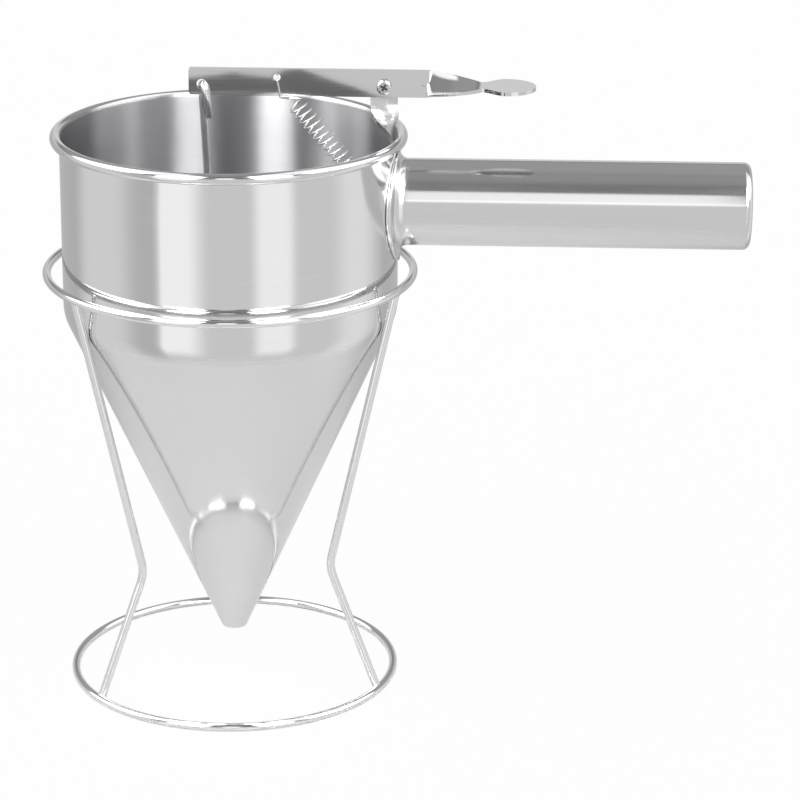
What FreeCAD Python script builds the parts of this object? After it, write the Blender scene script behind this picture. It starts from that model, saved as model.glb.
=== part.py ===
import FreeCAD, Part
import math
import os

# A pancake batter dispenser: a steel funnel with a tube handle, a thumb lever that lifts a
# rod valve out of the funnel's mouth against a spring, and a loose wire stand.
# Millimetres, +Z up, origin on the table at the centre of the stand's base ring,
# +X along the handle, the lever seen face on from -Y.

V = FreeCAD.Vector
AXIS_X = V(1, 0, 0)
AXIS_Y = V(0, 1, 0)
AXIS_Z = V(0, 0, 1)
ORIGIN = V(0, 0, 0)

# Funnel body
BODY_RADIUS = 69.25
BODY_WALL = 0.9
INNER_RADIUS = BODY_RADIUS - BODY_WALL
SHOULDER_Z = 161.2
SHOULDER_FILLET = 20.0
CYLINDER_HEIGHT = 76.3
RIM_TOP_Z = SHOULDER_Z + CYLINDER_HEIGHT
RIM_CURL_RADIUS = 2.325
RIM_CURL_END_DEG = -115.0
MOUTH_RADIUS = 5.2
MOUTH_Z = 18.9

# Stand of bent and welded wire
WIRE_RADIUS = 1.75
TOP_RING_ABOVE_SHOULDER = 16.9
TOP_RING_Z = SHOULDER_Z + TOP_RING_ABOVE_SHOULDER
TOP_RING_OUTSET = 0.74
BASE_RING_RADIUS = 68.25
FOOT_FLAT_DEPTH = 0.2
LEFT_LEG_DEG = 218.0
LEG_SPACING_DEG = 120.0
LEG_NAMES = ("stand_leg_left", "stand_leg_right", "stand_leg_rear")
LEG_BEND_RADIUS = 44.9
LEG_BEND_Z = 53.0
LEG_BEND_FILLET = 15.0
LEG_TOP_BELOW_RING = 1.0
LEG_FOOT_INSET = 1.6
LEG_FOOT_ABOVE_RING = 1.0
SEAT_GAP = 0.3

# Handle: saddle welded to the wall, tube and end cap
HANDLE_RADIUS = 17.9
HANDLE_WALL = 1.0
HANDLE_BELOW_RIM = 29.4
HANDLE_Z = RIM_TOP_Z - HANDLE_BELOW_RIM
NECK_STEP = 0.2
NECK_RADIUS = HANDLE_RADIUS - NECK_STEP
NECK_LENGTH = 4.35
NECK_END_X = BODY_RADIUS + NECK_LENGTH
HANDLE_LENGTH = 139.6
HANDLE_END_X = NECK_END_X + HANDLE_LENGTH
SADDLE_REACH = 6.4
SADDLE_RADIUS = HANDLE_RADIUS + SADDLE_REACH
SADDLE_WALL = 0.9
SADDLE_FILLET = 3.0
CAP_RIM_LENGTH = 2.1
CAP_EDGE_FILLET = 1.2
CAP_PLUG_DEPTH = 6.0
CAP_WALL = 1.0
CAP_FIT_GAP = 0.03

# Pivot: M3 pan head screw through lever and bracket, with a nut behind
PIVOT_INSET = 5.05
PIVOT_X = INNER_RADIUS - PIVOT_INSET
PIVOT_ABOVE_RIM = 19.2
PIVOT_Z = RIM_TOP_Z + PIVOT_ABOVE_RIM
SCREW_RADIUS = 1.5
SCREW_HEAD_RADIUS = 3.0
SCREW_HEAD_HEIGHT = 2.2
SCREW_HEAD_FILLET = 0.9
SCREW_RECESS_WIDTH = 0.7
SCREW_RECESS_SPAN = 3.2
SCREW_RECESS_DEPTH = 1.2
SCREW_RECESS_ANGLES_DEG = (30.0, 120.0)
SCREW_END_LENGTH = 1.2
NUT_ACROSS_FLATS = 5.5
NUT_HEIGHT = 2.4
PIVOT_RUN_GAP = 0.05
PIVOT_FACE_GAP = 0.3
THREAD_GAP = 0.02

# Lever strip with a quarter twist into a flat thumb tab
STRIP_THICKNESS = 1.5
LEVER_WIDTH = 11.3
LEVER_ABOVE_PIVOT = 1.2
LEVER_CENTRE_Z = PIVOT_Z + LEVER_ABOVE_PIVOT
LEVER_CORNER = 1.2
LEVER_TWIST_BEYOND_PIVOT = 17.7
LEVER_TWIST_START_X = PIVOT_X + LEVER_TWIST_BEYOND_PIVOT
LEVER_TWIST_LENGTH = 22.0
LEVER_TWIST_END_X = LEVER_TWIST_START_X + LEVER_TWIST_LENGTH
LEVER_TWIST_SECTIONS = 8
TAB_DROP = 1.1
TAB_Z = LEVER_CENTRE_Z - TAB_DROP
TAB_FLARE = 6.35
TAB_HALF_WIDTH = LEVER_WIDTH / 2 + TAB_FLARE
TAB_ROOT_LENGTH = 9.5
TAB_CENTRE_X = LEVER_TWIST_END_X + TAB_ROOT_LENGTH
TAB_TIP_LENGTH = 12.3
TAB_TIP_X = TAB_CENTRE_X + TAB_TIP_LENGTH
TAB_ROOT_RUN = 8.0
TAB_ROOT_RISE = 3.0
DRILL_REACH = 3 * (STRIP_THICKNESS + NUT_HEIGHT)

# Bracket strip, twisted a quarter turn on to the funnel's inner wall
BRACKET_WIDTH = 11.1
BRACKET_ABOVE_PIVOT = 5.9
BRACKET_TOP_Z = PIVOT_Z + BRACKET_ABOVE_PIVOT
BRACKET_TOP_FLAT = 1.5
BRACKET_CORNER = (BRACKET_WIDTH - BRACKET_TOP_FLAT) / 2
BRACKET_EAR_BELOW_PIVOT = 7.4
BRACKET_TWIST_TOP_Z = PIVOT_Z - BRACKET_EAR_BELOW_PIVOT
BRACKET_TWIST_LENGTH = 14.3
BRACKET_TWIST_END_Z = BRACKET_TWIST_TOP_Z - BRACKET_TWIST_LENGTH
BRACKET_SHIFT_LENGTH = 20.3
BRACKET_SHIFT_END_Z = BRACKET_TWIST_TOP_Z - BRACKET_SHIFT_LENGTH
BRACKET_FOOT_LENGTH = 25.8
BRACKET_BOTTOM_Z = BRACKET_SHIFT_END_Z - BRACKET_FOOT_LENGTH
BRACKET_WALL_GAP = 0.1
BRACKET_SECTIONS = 10
ANCHOR_TAB_REACH = 4.8
ANCHOR_TAB_WIDTH = 7.0
ANCHOR_HOLE_RADIUS = 1.2
ANCHOR_HOLE_INSET = 2.4

# Valve rod of bent wire, hooked through the lever
ROD_RADIUS = 1.45
ROD_HOLE_X = -10.7
ROD_HOLE_BELOW_CENTRE = 1.2
ROD_HOLE_Z = LEVER_CENTRE_Z - ROD_HOLE_BELOW_CENTRE
ROD_HOLE_GAP = 0.65
ROD_HOLE_RADIUS = ROD_RADIUS + ROD_HOLE_GAP
ROD_STRIP_GAP = 0.35
ROD_HOOK_LENGTH = 13.5
ROD_HOOK_LEAN = 1.7
ROD_HOOK_SPLAY = 0.4
ROD_BEND_SLACK = 0.1
ROD_STRAIGHT_LENGTH = 12.6
ROD_SLANT_FILLET = 30.0
ROD_FIT_GAP = 0.03
LEVER_END_BEYOND_ROD = 5.3
LEVER_LEFT_X = ROD_HOLE_X - LEVER_END_BEYOND_ROD

# Turned valve plug that seats in the cone just above the mouth
PLUG_ABOVE_MOUTH = 1.5
PLUG_BOTTOM_Z = MOUTH_Z + PLUG_ABOVE_MOUTH
PLUG_CONE_HEIGHT = 4.0
PLUG_BODY_HEIGHT = 4.0
PLUG_TOP_HEIGHT = 3.0
PLUG_TOP_Z = PLUG_BOTTOM_Z + PLUG_CONE_HEIGHT + PLUG_BODY_HEIGHT + PLUG_TOP_HEIGHT
PLUG_COLLAR_WALL = 1.45
PLUG_BORE_DEPTH = 7.0
PLUG_SEAT_GAP = 0.3

# Return spring: an open-wound wire, stretched between the lever and the bracket's tab
SPRING_WIRE_RADIUS = 0.4
SPRING_MEAN_RADIUS = 3.5
SPRING_TURNS = 18
SPRING_HOLE_FROM_PIVOT = 43.4
SPRING_HOLE_X = PIVOT_X - SPRING_HOLE_FROM_PIVOT
SPRING_HOLE_ABOVE_CENTRE = 2.0
SPRING_HOLE_Z = LEVER_CENTRE_Z + SPRING_HOLE_ABOVE_CENTRE
SPRING_HOLE_RADIUS = 1.5
SPRING_COIL_AHEAD = 7.4
SPRING_COIL_DROP = 11.0
SPRING_BEND_RADIUS = 0.9
SPRING_FACE_GAP = 0.3
SPRING_HOOK_DROP = 8.2
SPRING_HOOK_SHIFT = 1.4
SPRING_LEAD_SHARE = 0.4
SPRING_END_RUN = 5.74
SPRING_END_LENGTH = 2.4
SPRING_CHECK_STEP = 0.5
SPRING_NEXT_WIRE = 8 * SPRING_WIRE_RADIUS

LEVER_Y = -(STRIP_THICKNESS + PIVOT_FACE_GAP)
LEVER_FRONT_Y = LEVER_Y - STRIP_THICKNESS / 2
LEVER_BACK_Y = LEVER_Y + STRIP_THICKNESS / 2
CONE_SLOPE = (BODY_RADIUS - MOUTH_RADIUS) / (SHOULDER_Z - MOUTH_Z)
CONE_ANGLE = math.atan(CONE_SLOPE)
CONE_WALL_SPAN = BODY_WALL / math.cos(CONE_ANGLE)


def cone_inner_radius(z):
    """Radius of the cone's inner face at a height."""
    return MOUTH_RADIUS + CONE_SLOPE * (z - MOUTH_Z) - CONE_WALL_SPAN


def same(a, b):
    """True where two sizes agree."""
    return abs(a - b) < 0.01


def face_of(edges):
    """Planar face inside a closed loop of edges."""
    return Part.Face(Part.Wire(Part.__sortEdges__(edges)))


def polygon(points):
    """Closed wire through points."""
    return Part.makePolygon(points + [points[0]])


def lathe(points):
    """Solid turned about +Z from (radius, z) corners."""
    outline = Part.Face(polygon([V(radius, 0, z) for radius, z in points]))
    return outline.revolve(ORIGIN, AXIS_Z, 360)


def rounded_path(points, radii):
    """Wire of straight runs joined by tangent arcs, one radius per inner point."""
    edges = []
    start = points[0]
    for before, corner, after, radius in zip(points, points[1:], points[2:], radii):
        back = (before - corner).normalize()
        ahead = (after - corner).normalize()
        half_turn = (math.pi - back.getAngle(ahead)) / 2
        tangent = radius * math.tan(half_turn)
        arc_start = corner + back * tangent
        arc_end = corner + ahead * tangent
        bisector = (back + ahead).normalize()
        arc_mid = corner + bisector * (radius / math.cos(half_turn) - radius)
        edges.append(Part.LineSegment(start, arc_start).toShape())
        edges.append(Part.Arc(arc_start, arc_mid, arc_end).toShape())
        start = arc_end
    edges.append(Part.LineSegment(start, points[-1]).toShape())
    return Part.Wire(edges)


def tube_along(path, radius):
    """Round bar swept along a path."""
    first = path.OrderedEdges[0]
    begin = first.valueAt(first.FirstParameter)
    heading = first.tangentAt(first.FirstParameter)
    section = Part.Wire(Part.makeCircle(radius, begin, heading))
    return path.makePipeShell([section], True, False)


def circle_arc(centre, radius, start_deg, end_deg):
    """Arc in the XZ plane, angles measured from +X towards +Z."""
    points = []
    for angle_deg in (start_deg, (start_deg + end_deg) / 2, end_deg):
        angle = math.radians(angle_deg)
        points.append(centre + V(radius * math.cos(angle), 0, radius * math.sin(angle)))
    return Part.Arc(*points).toShape()


def shoulder_centre():
    """Centre of the round between the cylinder and the cone."""
    tangent = SHOULDER_FILLET * math.tan(CONE_ANGLE / 2)
    return V(BODY_RADIUS - SHOULDER_FILLET, 0, SHOULDER_Z + tangent)


def shoulder_arc(offset):
    """Section of the shoulder, moved inwards from the outer face by an offset."""
    return circle_arc(shoulder_centre(), SHOULDER_FILLET - offset, 0, -math.degrees(CONE_ANGLE))


def start_of(edge):
    """First point of an edge."""
    return edge.valueAt(edge.FirstParameter)


def end_of(edge):
    """Last point of an edge."""
    return edge.valueAt(edge.LastParameter)


def funnel_body():
    """One-piece funnel: mouth, cone, rounded shoulder, cylinder and rolled rim."""
    curl_centre = V(INNER_RADIUS + RIM_CURL_RADIUS, 0, RIM_TOP_Z - RIM_CURL_RADIUS)
    outer_shoulder = shoulder_arc(0)
    inner_shoulder = shoulder_arc(BODY_WALL)
    curl_under = circle_arc(curl_centre, RIM_CURL_RADIUS - BODY_WALL, 180, RIM_CURL_END_DEG)
    curl_over = circle_arc(curl_centre, RIM_CURL_RADIUS, 180, RIM_CURL_END_DEG)
    mouth_outer = V(MOUTH_RADIUS, 0, MOUTH_Z)
    mouth_inner = V(cone_inner_radius(MOUTH_Z), 0, MOUTH_Z)
    edges = [
        Part.LineSegment(mouth_outer, end_of(outer_shoulder)).toShape(),
        outer_shoulder,
        Part.LineSegment(start_of(outer_shoulder), start_of(curl_under)).toShape(),
        curl_under,
        Part.LineSegment(end_of(curl_under), end_of(curl_over)).toShape(),
        curl_over,
        Part.LineSegment(start_of(curl_over), start_of(inner_shoulder)).toShape(),
        inner_shoulder,
        Part.LineSegment(end_of(inner_shoulder), mouth_inner).toShape(),
        Part.LineSegment(mouth_inner, mouth_outer).toShape(),
    ]
    return face_of(edges).revolve(ORIGIN, AXIS_Z, 360)


def ring(radius, z):
    """Closed wire ring of the stand."""
    return Part.makeTorus(radius, WIRE_RADIUS, V(0, 0, z))


def base_ring_z():
    """Height of the base ring's wire, which has a narrow flat worn on its underside."""
    return WIRE_RADIUS - FOOT_FLAT_DEPTH


def stand_base_ring():
    """Base ring with its flat on the table."""
    reach = 2 * BASE_RING_RADIUS
    depth = 4 * WIRE_RADIUS
    table = Part.makeBox(2 * reach, 2 * reach, depth, V(-reach, -reach, -depth))
    return ring(BASE_RING_RADIUS, base_ring_z()).cut(table)


def leg_direction():
    """Direction of a leg's upper run, which the funnel's shoulder rests against."""
    reach = SHOULDER_FILLET + SEAT_GAP + WIRE_RADIUS
    span = shoulder_centre() - V(LEG_BEND_RADIUS, 0, LEG_BEND_Z)
    lean = math.atan2(span.x, span.z) + math.asin(reach / span.Length)
    return V(math.sin(lean), 0, math.cos(lean))


def leg_point(z):
    """Point on a leg's upper run at a height."""
    run = leg_direction()
    return V(LEG_BEND_RADIUS, 0, LEG_BEND_Z) + run * ((z - LEG_BEND_Z) / run.z)


def top_ring():
    """Ring just outside the tops of the legs, wide enough to pass the funnel's cylinder."""
    return ring(leg_point(TOP_RING_Z).x + TOP_RING_OUTSET, TOP_RING_Z)


def stand_leg(angle_deg):
    """One leg: from under the top ring in to its bend and out to the base ring."""
    bend = leg_point(LEG_BEND_Z)
    top = leg_point(TOP_RING_Z - LEG_TOP_BELOW_RING)
    foot = V(BASE_RING_RADIUS - LEG_FOOT_INSET, 0, base_ring_z() + LEG_FOOT_ABOVE_RING)
    leg = tube_along(rounded_path([top, bend, foot], [LEG_BEND_FILLET]), WIRE_RADIUS)
    leg = leg.cut(top_ring())
    leg = leg.cut(ring(BASE_RING_RADIUS, base_ring_z()))
    leg.rotate(ORIGIN, AXIS_Z, angle_deg)
    return leg


def cylinder_x(radius, start_x, end_x):
    """Cylinder on the handle's axis."""
    return Part.makeCylinder(radius, end_x - start_x, V(start_x, 0, HANDLE_Z), AXIS_X)


def upright_cylinder(radius):
    """Tall cylinder on the funnel's axis, its seam turned away from the handle."""
    base = V(0, 0, HANDLE_Z - SADDLE_RADIUS * 2)
    cylinder = Part.makeCylinder(radius, SADDLE_RADIUS * 4, base)
    cylinder.rotate(ORIGIN, AXIS_Z, 180)
    return cylinder


def lies_on_neck(edge):
    """True for an edge on the neck's outer face."""
    return all(same(math.hypot(p.y, p.z - HANDLE_Z), NECK_RADIUS) for p in edge.discretize(9))


def lies_on_flange(edge):
    """True for an edge on the flange's outer face."""
    radius = BODY_RADIUS + SADDLE_WALL
    return all(same(math.hypot(p.x, p.y), radius) for p in edge.discretize(9))


def handle_saddle():
    """Curved flange on the funnel's wall with a short neck that the tube is welded to."""
    flange = upright_cylinder(BODY_RADIUS + SADDLE_WALL)
    flange = flange.common(cylinder_x(SADDLE_RADIUS, 0, NECK_END_X))
    neck = cylinder_x(NECK_RADIUS, BODY_RADIUS / 2, NECK_END_X)
    saddle = flange.fuse(neck).removeSplitter()
    corner = [e for e in saddle.Edges if lies_on_neck(e) and lies_on_flange(e)]
    saddle = saddle.makeFillet(SADDLE_FILLET, corner)
    saddle = saddle.cut(upright_cylinder(BODY_RADIUS))
    return saddle.cut(cylinder_x(HANDLE_RADIUS - HANDLE_WALL, 0, HANDLE_END_X))


def handle_tube():
    """Straight tube of the handle."""
    end_x = HANDLE_END_X - CAP_RIM_LENGTH
    outer = cylinder_x(HANDLE_RADIUS, NECK_END_X, end_x)
    return outer.cut(cylinder_x(HANDLE_RADIUS - HANDLE_WALL, NECK_END_X - 1, end_x + 1))


def handle_end_cap():
    """Pressed cap: a rounded rim outside the tube and a hollow plug inside it."""
    rim_x = HANDLE_END_X - CAP_RIM_LENGTH
    plug_radius = HANDLE_RADIUS - HANDLE_WALL - CAP_FIT_GAP
    cap = cylinder_x(HANDLE_RADIUS, rim_x, HANDLE_END_X)
    outer_edge = [e for e in cap.Edges if same(e.CenterOfMass.x, HANDLE_END_X)]
    cap = cap.makeFillet(CAP_EDGE_FILLET, outer_edge)
    cap = cap.fuse(cylinder_x(plug_radius, rim_x - CAP_PLUG_DEPTH, rim_x))
    hollow = cylinder_x(plug_radius - CAP_WALL, rim_x - CAP_PLUG_DEPTH - 1, HANDLE_END_X - CAP_WALL)
    return cap.cut(hollow).removeSplitter()


def turned_rectangle(centre, across, through, width, thickness):
    """Closed rectangle round a centre, its width along one axis and thickness along another."""
    half_width = across * (width / 2)
    half_depth = through * (thickness / 2)
    corners = [
        centre + half_width + half_depth,
        centre - half_width + half_depth,
        centre - half_width - half_depth,
        centre + half_width - half_depth,
    ]
    return Part.Wire(polygon(corners))


def hole_y(radius, x, z):
    """Drill along Y through the lever and the bracket's top."""
    return Part.makeCylinder(radius, 2 * DRILL_REACH, V(x, -DRILL_REACH, z), AXIS_Y)


def lever_strip():
    """Flat part of the lever, with its small rounded corners at the rod's end."""
    size_x = LEVER_TWIST_START_X - LEVER_LEFT_X
    corner = V(LEVER_LEFT_X, LEVER_FRONT_Y, LEVER_CENTRE_Z - LEVER_WIDTH / 2)
    strip = Part.makeBox(size_x, STRIP_THICKNESS, LEVER_WIDTH, corner)
    end_edges = [e for e in strip.Edges if same(e.CenterOfMass.x, LEVER_LEFT_X)]
    ends = [e for e in end_edges if same(e.Length, STRIP_THICKNESS)]
    return strip.makeFillet(LEVER_CORNER, ends)


def lever_twist():
    """Quarter twist that turns the strip's front face up and brings it down to the tab."""
    sections = []
    for step in range(LEVER_TWIST_SECTIONS + 1):
        share = step / LEVER_TWIST_SECTIONS
        angle = -math.pi / 2 * share
        across = V(0, -math.sin(angle), math.cos(angle))
        through = V(0, math.cos(angle), math.sin(angle))
        x = LEVER_TWIST_START_X + LEVER_TWIST_LENGTH * share
        centre = V(x, LEVER_Y, LEVER_CENTRE_Z - TAB_DROP * share)
        sections.append(turned_rectangle(centre, across, through, LEVER_WIDTH, STRIP_THICKNESS))
    return Part.makeLoft(sections, True, False)


def lever_tab():
    """Flat oval thumb tab: its outline swells from the strip's width and closes on a round tip."""
    half = LEVER_WIDTH / 2
    z = TAB_Z - STRIP_THICKNESS / 2
    edges = []
    tip = V(TAB_TIP_X, LEVER_Y, z)
    roots = []
    for side in (1, -1):
        root = V(LEVER_TWIST_END_X, LEVER_Y + side * half, z)
        belly = V(TAB_CENTRE_X, LEVER_Y + side * TAB_HALF_WIDTH, z)
        root_heading = V(TAB_ROOT_RUN, side * TAB_ROOT_RISE, 0)
        headings = [root_heading, V(TAB_HALF_WIDTH, 0, 0), V(0, -side * TAB_HALF_WIDTH, 0)]
        flank = Part.BSplineCurve()
        flank.interpolate(Points=[root, belly, tip], Tangents=headings, TangentFlags=[True] * 3)
        edges.append(flank.toShape())
        roots.append(root)
    edges.append(Part.LineSegment(*roots).toShape())
    return face_of(edges).extrude(V(0, 0, STRIP_THICKNESS))


def lever():
    """Whole lever with its three holes."""
    plate = lever_strip().fuse([lever_twist(), lever_tab()]).removeSplitter()
    holes = [
        hole_y(SCREW_RADIUS + PIVOT_RUN_GAP, PIVOT_X, PIVOT_Z),
        hole_y(ROD_HOLE_RADIUS, ROD_HOLE_X, ROD_HOLE_Z),
        hole_y(SPRING_HOLE_RADIUS, SPRING_HOLE_X, SPRING_HOLE_Z),
    ]
    return plate.cut(holes)


def bracket_wall_x():
    """Centre of the bracket's thickness where its edges meet the round inner wall."""
    back = math.sqrt(INNER_RADIUS ** 2 - (BRACKET_WIDTH / 2) ** 2) - BRACKET_WALL_GAP
    return back - STRIP_THICKNESS / 2


def eased_share(z, start_z, end_z):
    """Share of the way from one height to another, with a soft start and end."""
    share = min((start_z - z) / (start_z - end_z), 1.0)
    return share * share * (3 - 2 * share)


def bracket_section(z):
    """Section of the bracket at a height: turned by the twist and shifted to the wall."""
    turn = eased_share(z, BRACKET_TWIST_TOP_Z, BRACKET_TWIST_END_Z)
    shift = eased_share(z, BRACKET_TWIST_TOP_Z, BRACKET_SHIFT_END_Z)
    angle = -math.pi / 2 * turn
    centre = V(PIVOT_X + (bracket_wall_x() - PIVOT_X) * shift, 0, z)
    across = V(math.cos(angle), math.sin(angle), 0)
    through = V(-math.sin(angle), math.cos(angle), 0)
    return turned_rectangle(centre, across, through, BRACKET_WIDTH, STRIP_THICKNESS)


def lever_bracket():
    """Bracket: an ear for the pivot, a quarter twist, a foot on the wall and the spring's tab."""
    half = STRIP_THICKNESS / 2
    ear_height = BRACKET_TOP_Z - BRACKET_TWIST_TOP_Z
    ear_corner = V(PIVOT_X - BRACKET_WIDTH / 2, -half, BRACKET_TWIST_TOP_Z)
    ear = Part.makeBox(BRACKET_WIDTH, STRIP_THICKNESS, ear_height, ear_corner)
    top_edges = [e for e in ear.Edges if same(e.CenterOfMass.z, BRACKET_TOP_Z)]
    corners = [e for e in top_edges if same(e.Length, STRIP_THICKNESS)]
    ear = ear.makeFillet(BRACKET_CORNER, corners)
    sections = []
    for step in range(BRACKET_SECTIONS + 1):
        drop = BRACKET_SHIFT_LENGTH * step / BRACKET_SECTIONS
        sections.append(bracket_section(BRACKET_TWIST_TOP_Z - drop))
    twist = Part.makeLoft(sections, True, False)
    wall_x = bracket_wall_x()
    foot_corner = V(wall_x - half, -BRACKET_WIDTH / 2, BRACKET_BOTTOM_Z)
    foot = Part.makeBox(STRIP_THICKNESS, BRACKET_WIDTH, BRACKET_FOOT_LENGTH, foot_corner)
    tab_corner = V(wall_x - half - ANCHOR_TAB_REACH, -ANCHOR_TAB_WIDTH / 2, BRACKET_BOTTOM_Z)
    tab = Part.makeBox(ANCHOR_TAB_REACH, ANCHOR_TAB_WIDTH, STRIP_THICKNESS, tab_corner)
    bracket = ear.fuse([twist, foot, tab]).removeSplitter()
    drill_start = anchor_point() - V(0, 0, STRIP_THICKNESS * 2)
    anchor_hole = Part.makeCylinder(ANCHOR_HOLE_RADIUS, STRIP_THICKNESS * 3, drill_start)
    return bracket.cut([hole_y(SCREW_RADIUS + PIVOT_RUN_GAP, PIVOT_X, PIVOT_Z), anchor_hole])


def anchor_point():
    """Where the spring's lower hook passes the top of the bracket's tab."""
    tab_end_x = bracket_wall_x() - STRIP_THICKNESS / 2 - ANCHOR_TAB_REACH
    return V(tab_end_x + ANCHOR_HOLE_INSET, 0, BRACKET_BOTTOM_Z + STRIP_THICKNESS)


def pivot_screw():
    """Pan head screw with a cross recess, its head in front of the lever."""
    under_head_y = LEVER_FRONT_Y - PIVOT_FACE_GAP
    top_y = under_head_y - SCREW_HEAD_HEIGHT
    head = Part.makeCylinder(SCREW_HEAD_RADIUS, SCREW_HEAD_HEIGHT, V(PIVOT_X, top_y, PIVOT_Z), AXIS_Y)
    rim = [e for e in head.Edges if same(e.CenterOfMass.y, top_y)]
    head = head.makeFillet(SCREW_HEAD_FILLET, rim)
    length = STRIP_THICKNESS / 2 + NUT_HEIGHT + SCREW_END_LENGTH - under_head_y
    shank = Part.makeCylinder(SCREW_RADIUS, length, V(PIVOT_X, under_head_y, PIVOT_Z), AXIS_Y)
    screw = head.fuse(shank)
    for angle_deg in SCREW_RECESS_ANGLES_DEG:
        slot = Part.makeBox(SCREW_RECESS_SPAN, SCREW_RECESS_DEPTH, SCREW_RECESS_WIDTH)
        slot.translate(V(-SCREW_RECESS_SPAN / 2, 0, -SCREW_RECESS_WIDTH / 2))
        slot.rotate(ORIGIN, AXIS_Y, angle_deg)
        slot.translate(V(PIVOT_X, top_y, PIVOT_Z))
        screw = screw.cut(slot)
    return screw


def pivot_nut():
    """Hexagon nut behind the bracket."""
    corner_radius = NUT_ACROSS_FLATS / math.sqrt(3)
    corners = []
    for step in range(6):
        angle = math.radians(60 * step + 30)
        spoke = V(math.cos(angle), 0, math.sin(angle)) * corner_radius
        corners.append(V(PIVOT_X, STRIP_THICKNESS / 2, PIVOT_Z) + spoke)
    nut = Part.Face(polygon(corners)).extrude(V(0, NUT_HEIGHT, 0))
    return nut.cut(hole_y(SCREW_RADIUS + THREAD_GAP, PIVOT_X, PIVOT_Z))


def plug_radius():
    """Widest radius of the plug, where its cone ends."""
    gap = PLUG_SEAT_GAP / math.cos(CONE_ANGLE)
    return cone_inner_radius(PLUG_BOTTOM_Z + PLUG_CONE_HEIGHT) - gap


def valve_plug():
    """Turned plug: seat cone, body and collar bored for the rod."""
    gap = PLUG_SEAT_GAP / math.cos(CONE_ANGLE)
    seat_radius = cone_inner_radius(PLUG_BOTTOM_Z) - gap
    cone_top = PLUG_BOTTOM_Z + PLUG_CONE_HEIGHT
    outline = [
        (0, PLUG_BOTTOM_Z),
        (seat_radius, PLUG_BOTTOM_Z),
        (plug_radius(), cone_top),
        (plug_radius(), cone_top + PLUG_BODY_HEIGHT),
        (ROD_RADIUS + PLUG_COLLAR_WALL, PLUG_TOP_Z),
        (0, PLUG_TOP_Z),
    ]
    bore_base = V(0, 0, PLUG_TOP_Z - PLUG_BORE_DEPTH)
    return lathe(outline).cut(Part.makeCylinder(ROD_RADIUS + ROD_FIT_GAP, PLUG_BORE_DEPTH + 1, bore_base))


def valve_rod():
    """Bent wire: up the middle from the plug, slanted to the lever and hooked through its hole."""
    half_span = STRIP_THICKNESS / 2 + ROD_STRIP_GAP + ROD_RADIUS
    bottom = V(0, 0, PLUG_TOP_Z - PLUG_BORE_DEPTH)
    slant = V(0, 0, PLUG_TOP_Z + ROD_STRAIGHT_LENGTH)
    back = V(ROD_HOLE_X - ROD_HOOK_SPLAY, LEVER_Y + half_span, ROD_HOLE_Z)
    front = V(ROD_HOLE_X + ROD_HOOK_SPLAY, LEVER_Y - half_span, ROD_HOLE_Z)
    tip = front + V(ROD_HOOK_LEAN, 0, -ROD_HOOK_LENGTH)
    bend = half_span - ROD_BEND_SLACK
    path = rounded_path([bottom, slant, back, front, tip], [ROD_SLANT_FILLET, bend, bend])
    return tube_along(path, ROD_RADIUS)


def tangent_arc(start, heading, end):
    """Arc from a point with a heading to another point."""
    chord = end - start
    along = V(chord).normalize()
    half_turn = heading.getAngle(along)
    side = (heading - along * heading.dot(along)).normalize()
    sagitta = chord.Length / 2 * math.tan(half_turn / 2)
    middle = (start + end) * 0.5 + side * sagitta
    return Part.Arc(start, middle, end).toShape()


def biarc(start, start_heading, end, end_heading):
    """Two arcs, tangent to each other and to a heading at either end."""
    span = end - start
    both = start_heading + end_heading
    spread = 2 * (1 - start_heading.dot(end_heading))
    reach = (math.sqrt(span.dot(both) ** 2 + spread * span.dot(span)) - span.dot(both)) / spread
    joint = (start + end + (start_heading - end_heading) * reach) * 0.5
    back = tangent_arc(end, end_heading * -1, joint)
    return [tangent_arc(start, start_heading, joint), back]


def spring_frame():
    """Start of the coil's axis, its direction and the two directions across it."""
    start = V(SPRING_HOLE_X + SPRING_COIL_AHEAD, LEVER_Y, SPRING_HOLE_Z - SPRING_COIL_DROP)
    along = (anchor_point() - start).normalize()
    across = AXIS_Y.cross(along).normalize() * -1
    behind = across.cross(along).normalize()
    return start, along, across, behind


def coil_point(turn):
    """Point and heading on the coil after some turns, from its top round by the back."""
    start, along, across, behind = spring_frame()
    pitch = (start.distanceToPoint(anchor_point()) - SPRING_END_RUN) / SPRING_TURNS
    angle = 2 * math.pi * turn
    radial = across * math.cos(angle) + behind * math.sin(angle)
    sideways = behind * math.cos(angle) - across * math.sin(angle)
    point = start + along * (pitch * turn) + radial * SPRING_MEAN_RADIUS
    heading = sideways * (2 * math.pi * SPRING_MEAN_RADIUS) + along * pitch
    return point, heading.normalize()


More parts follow.
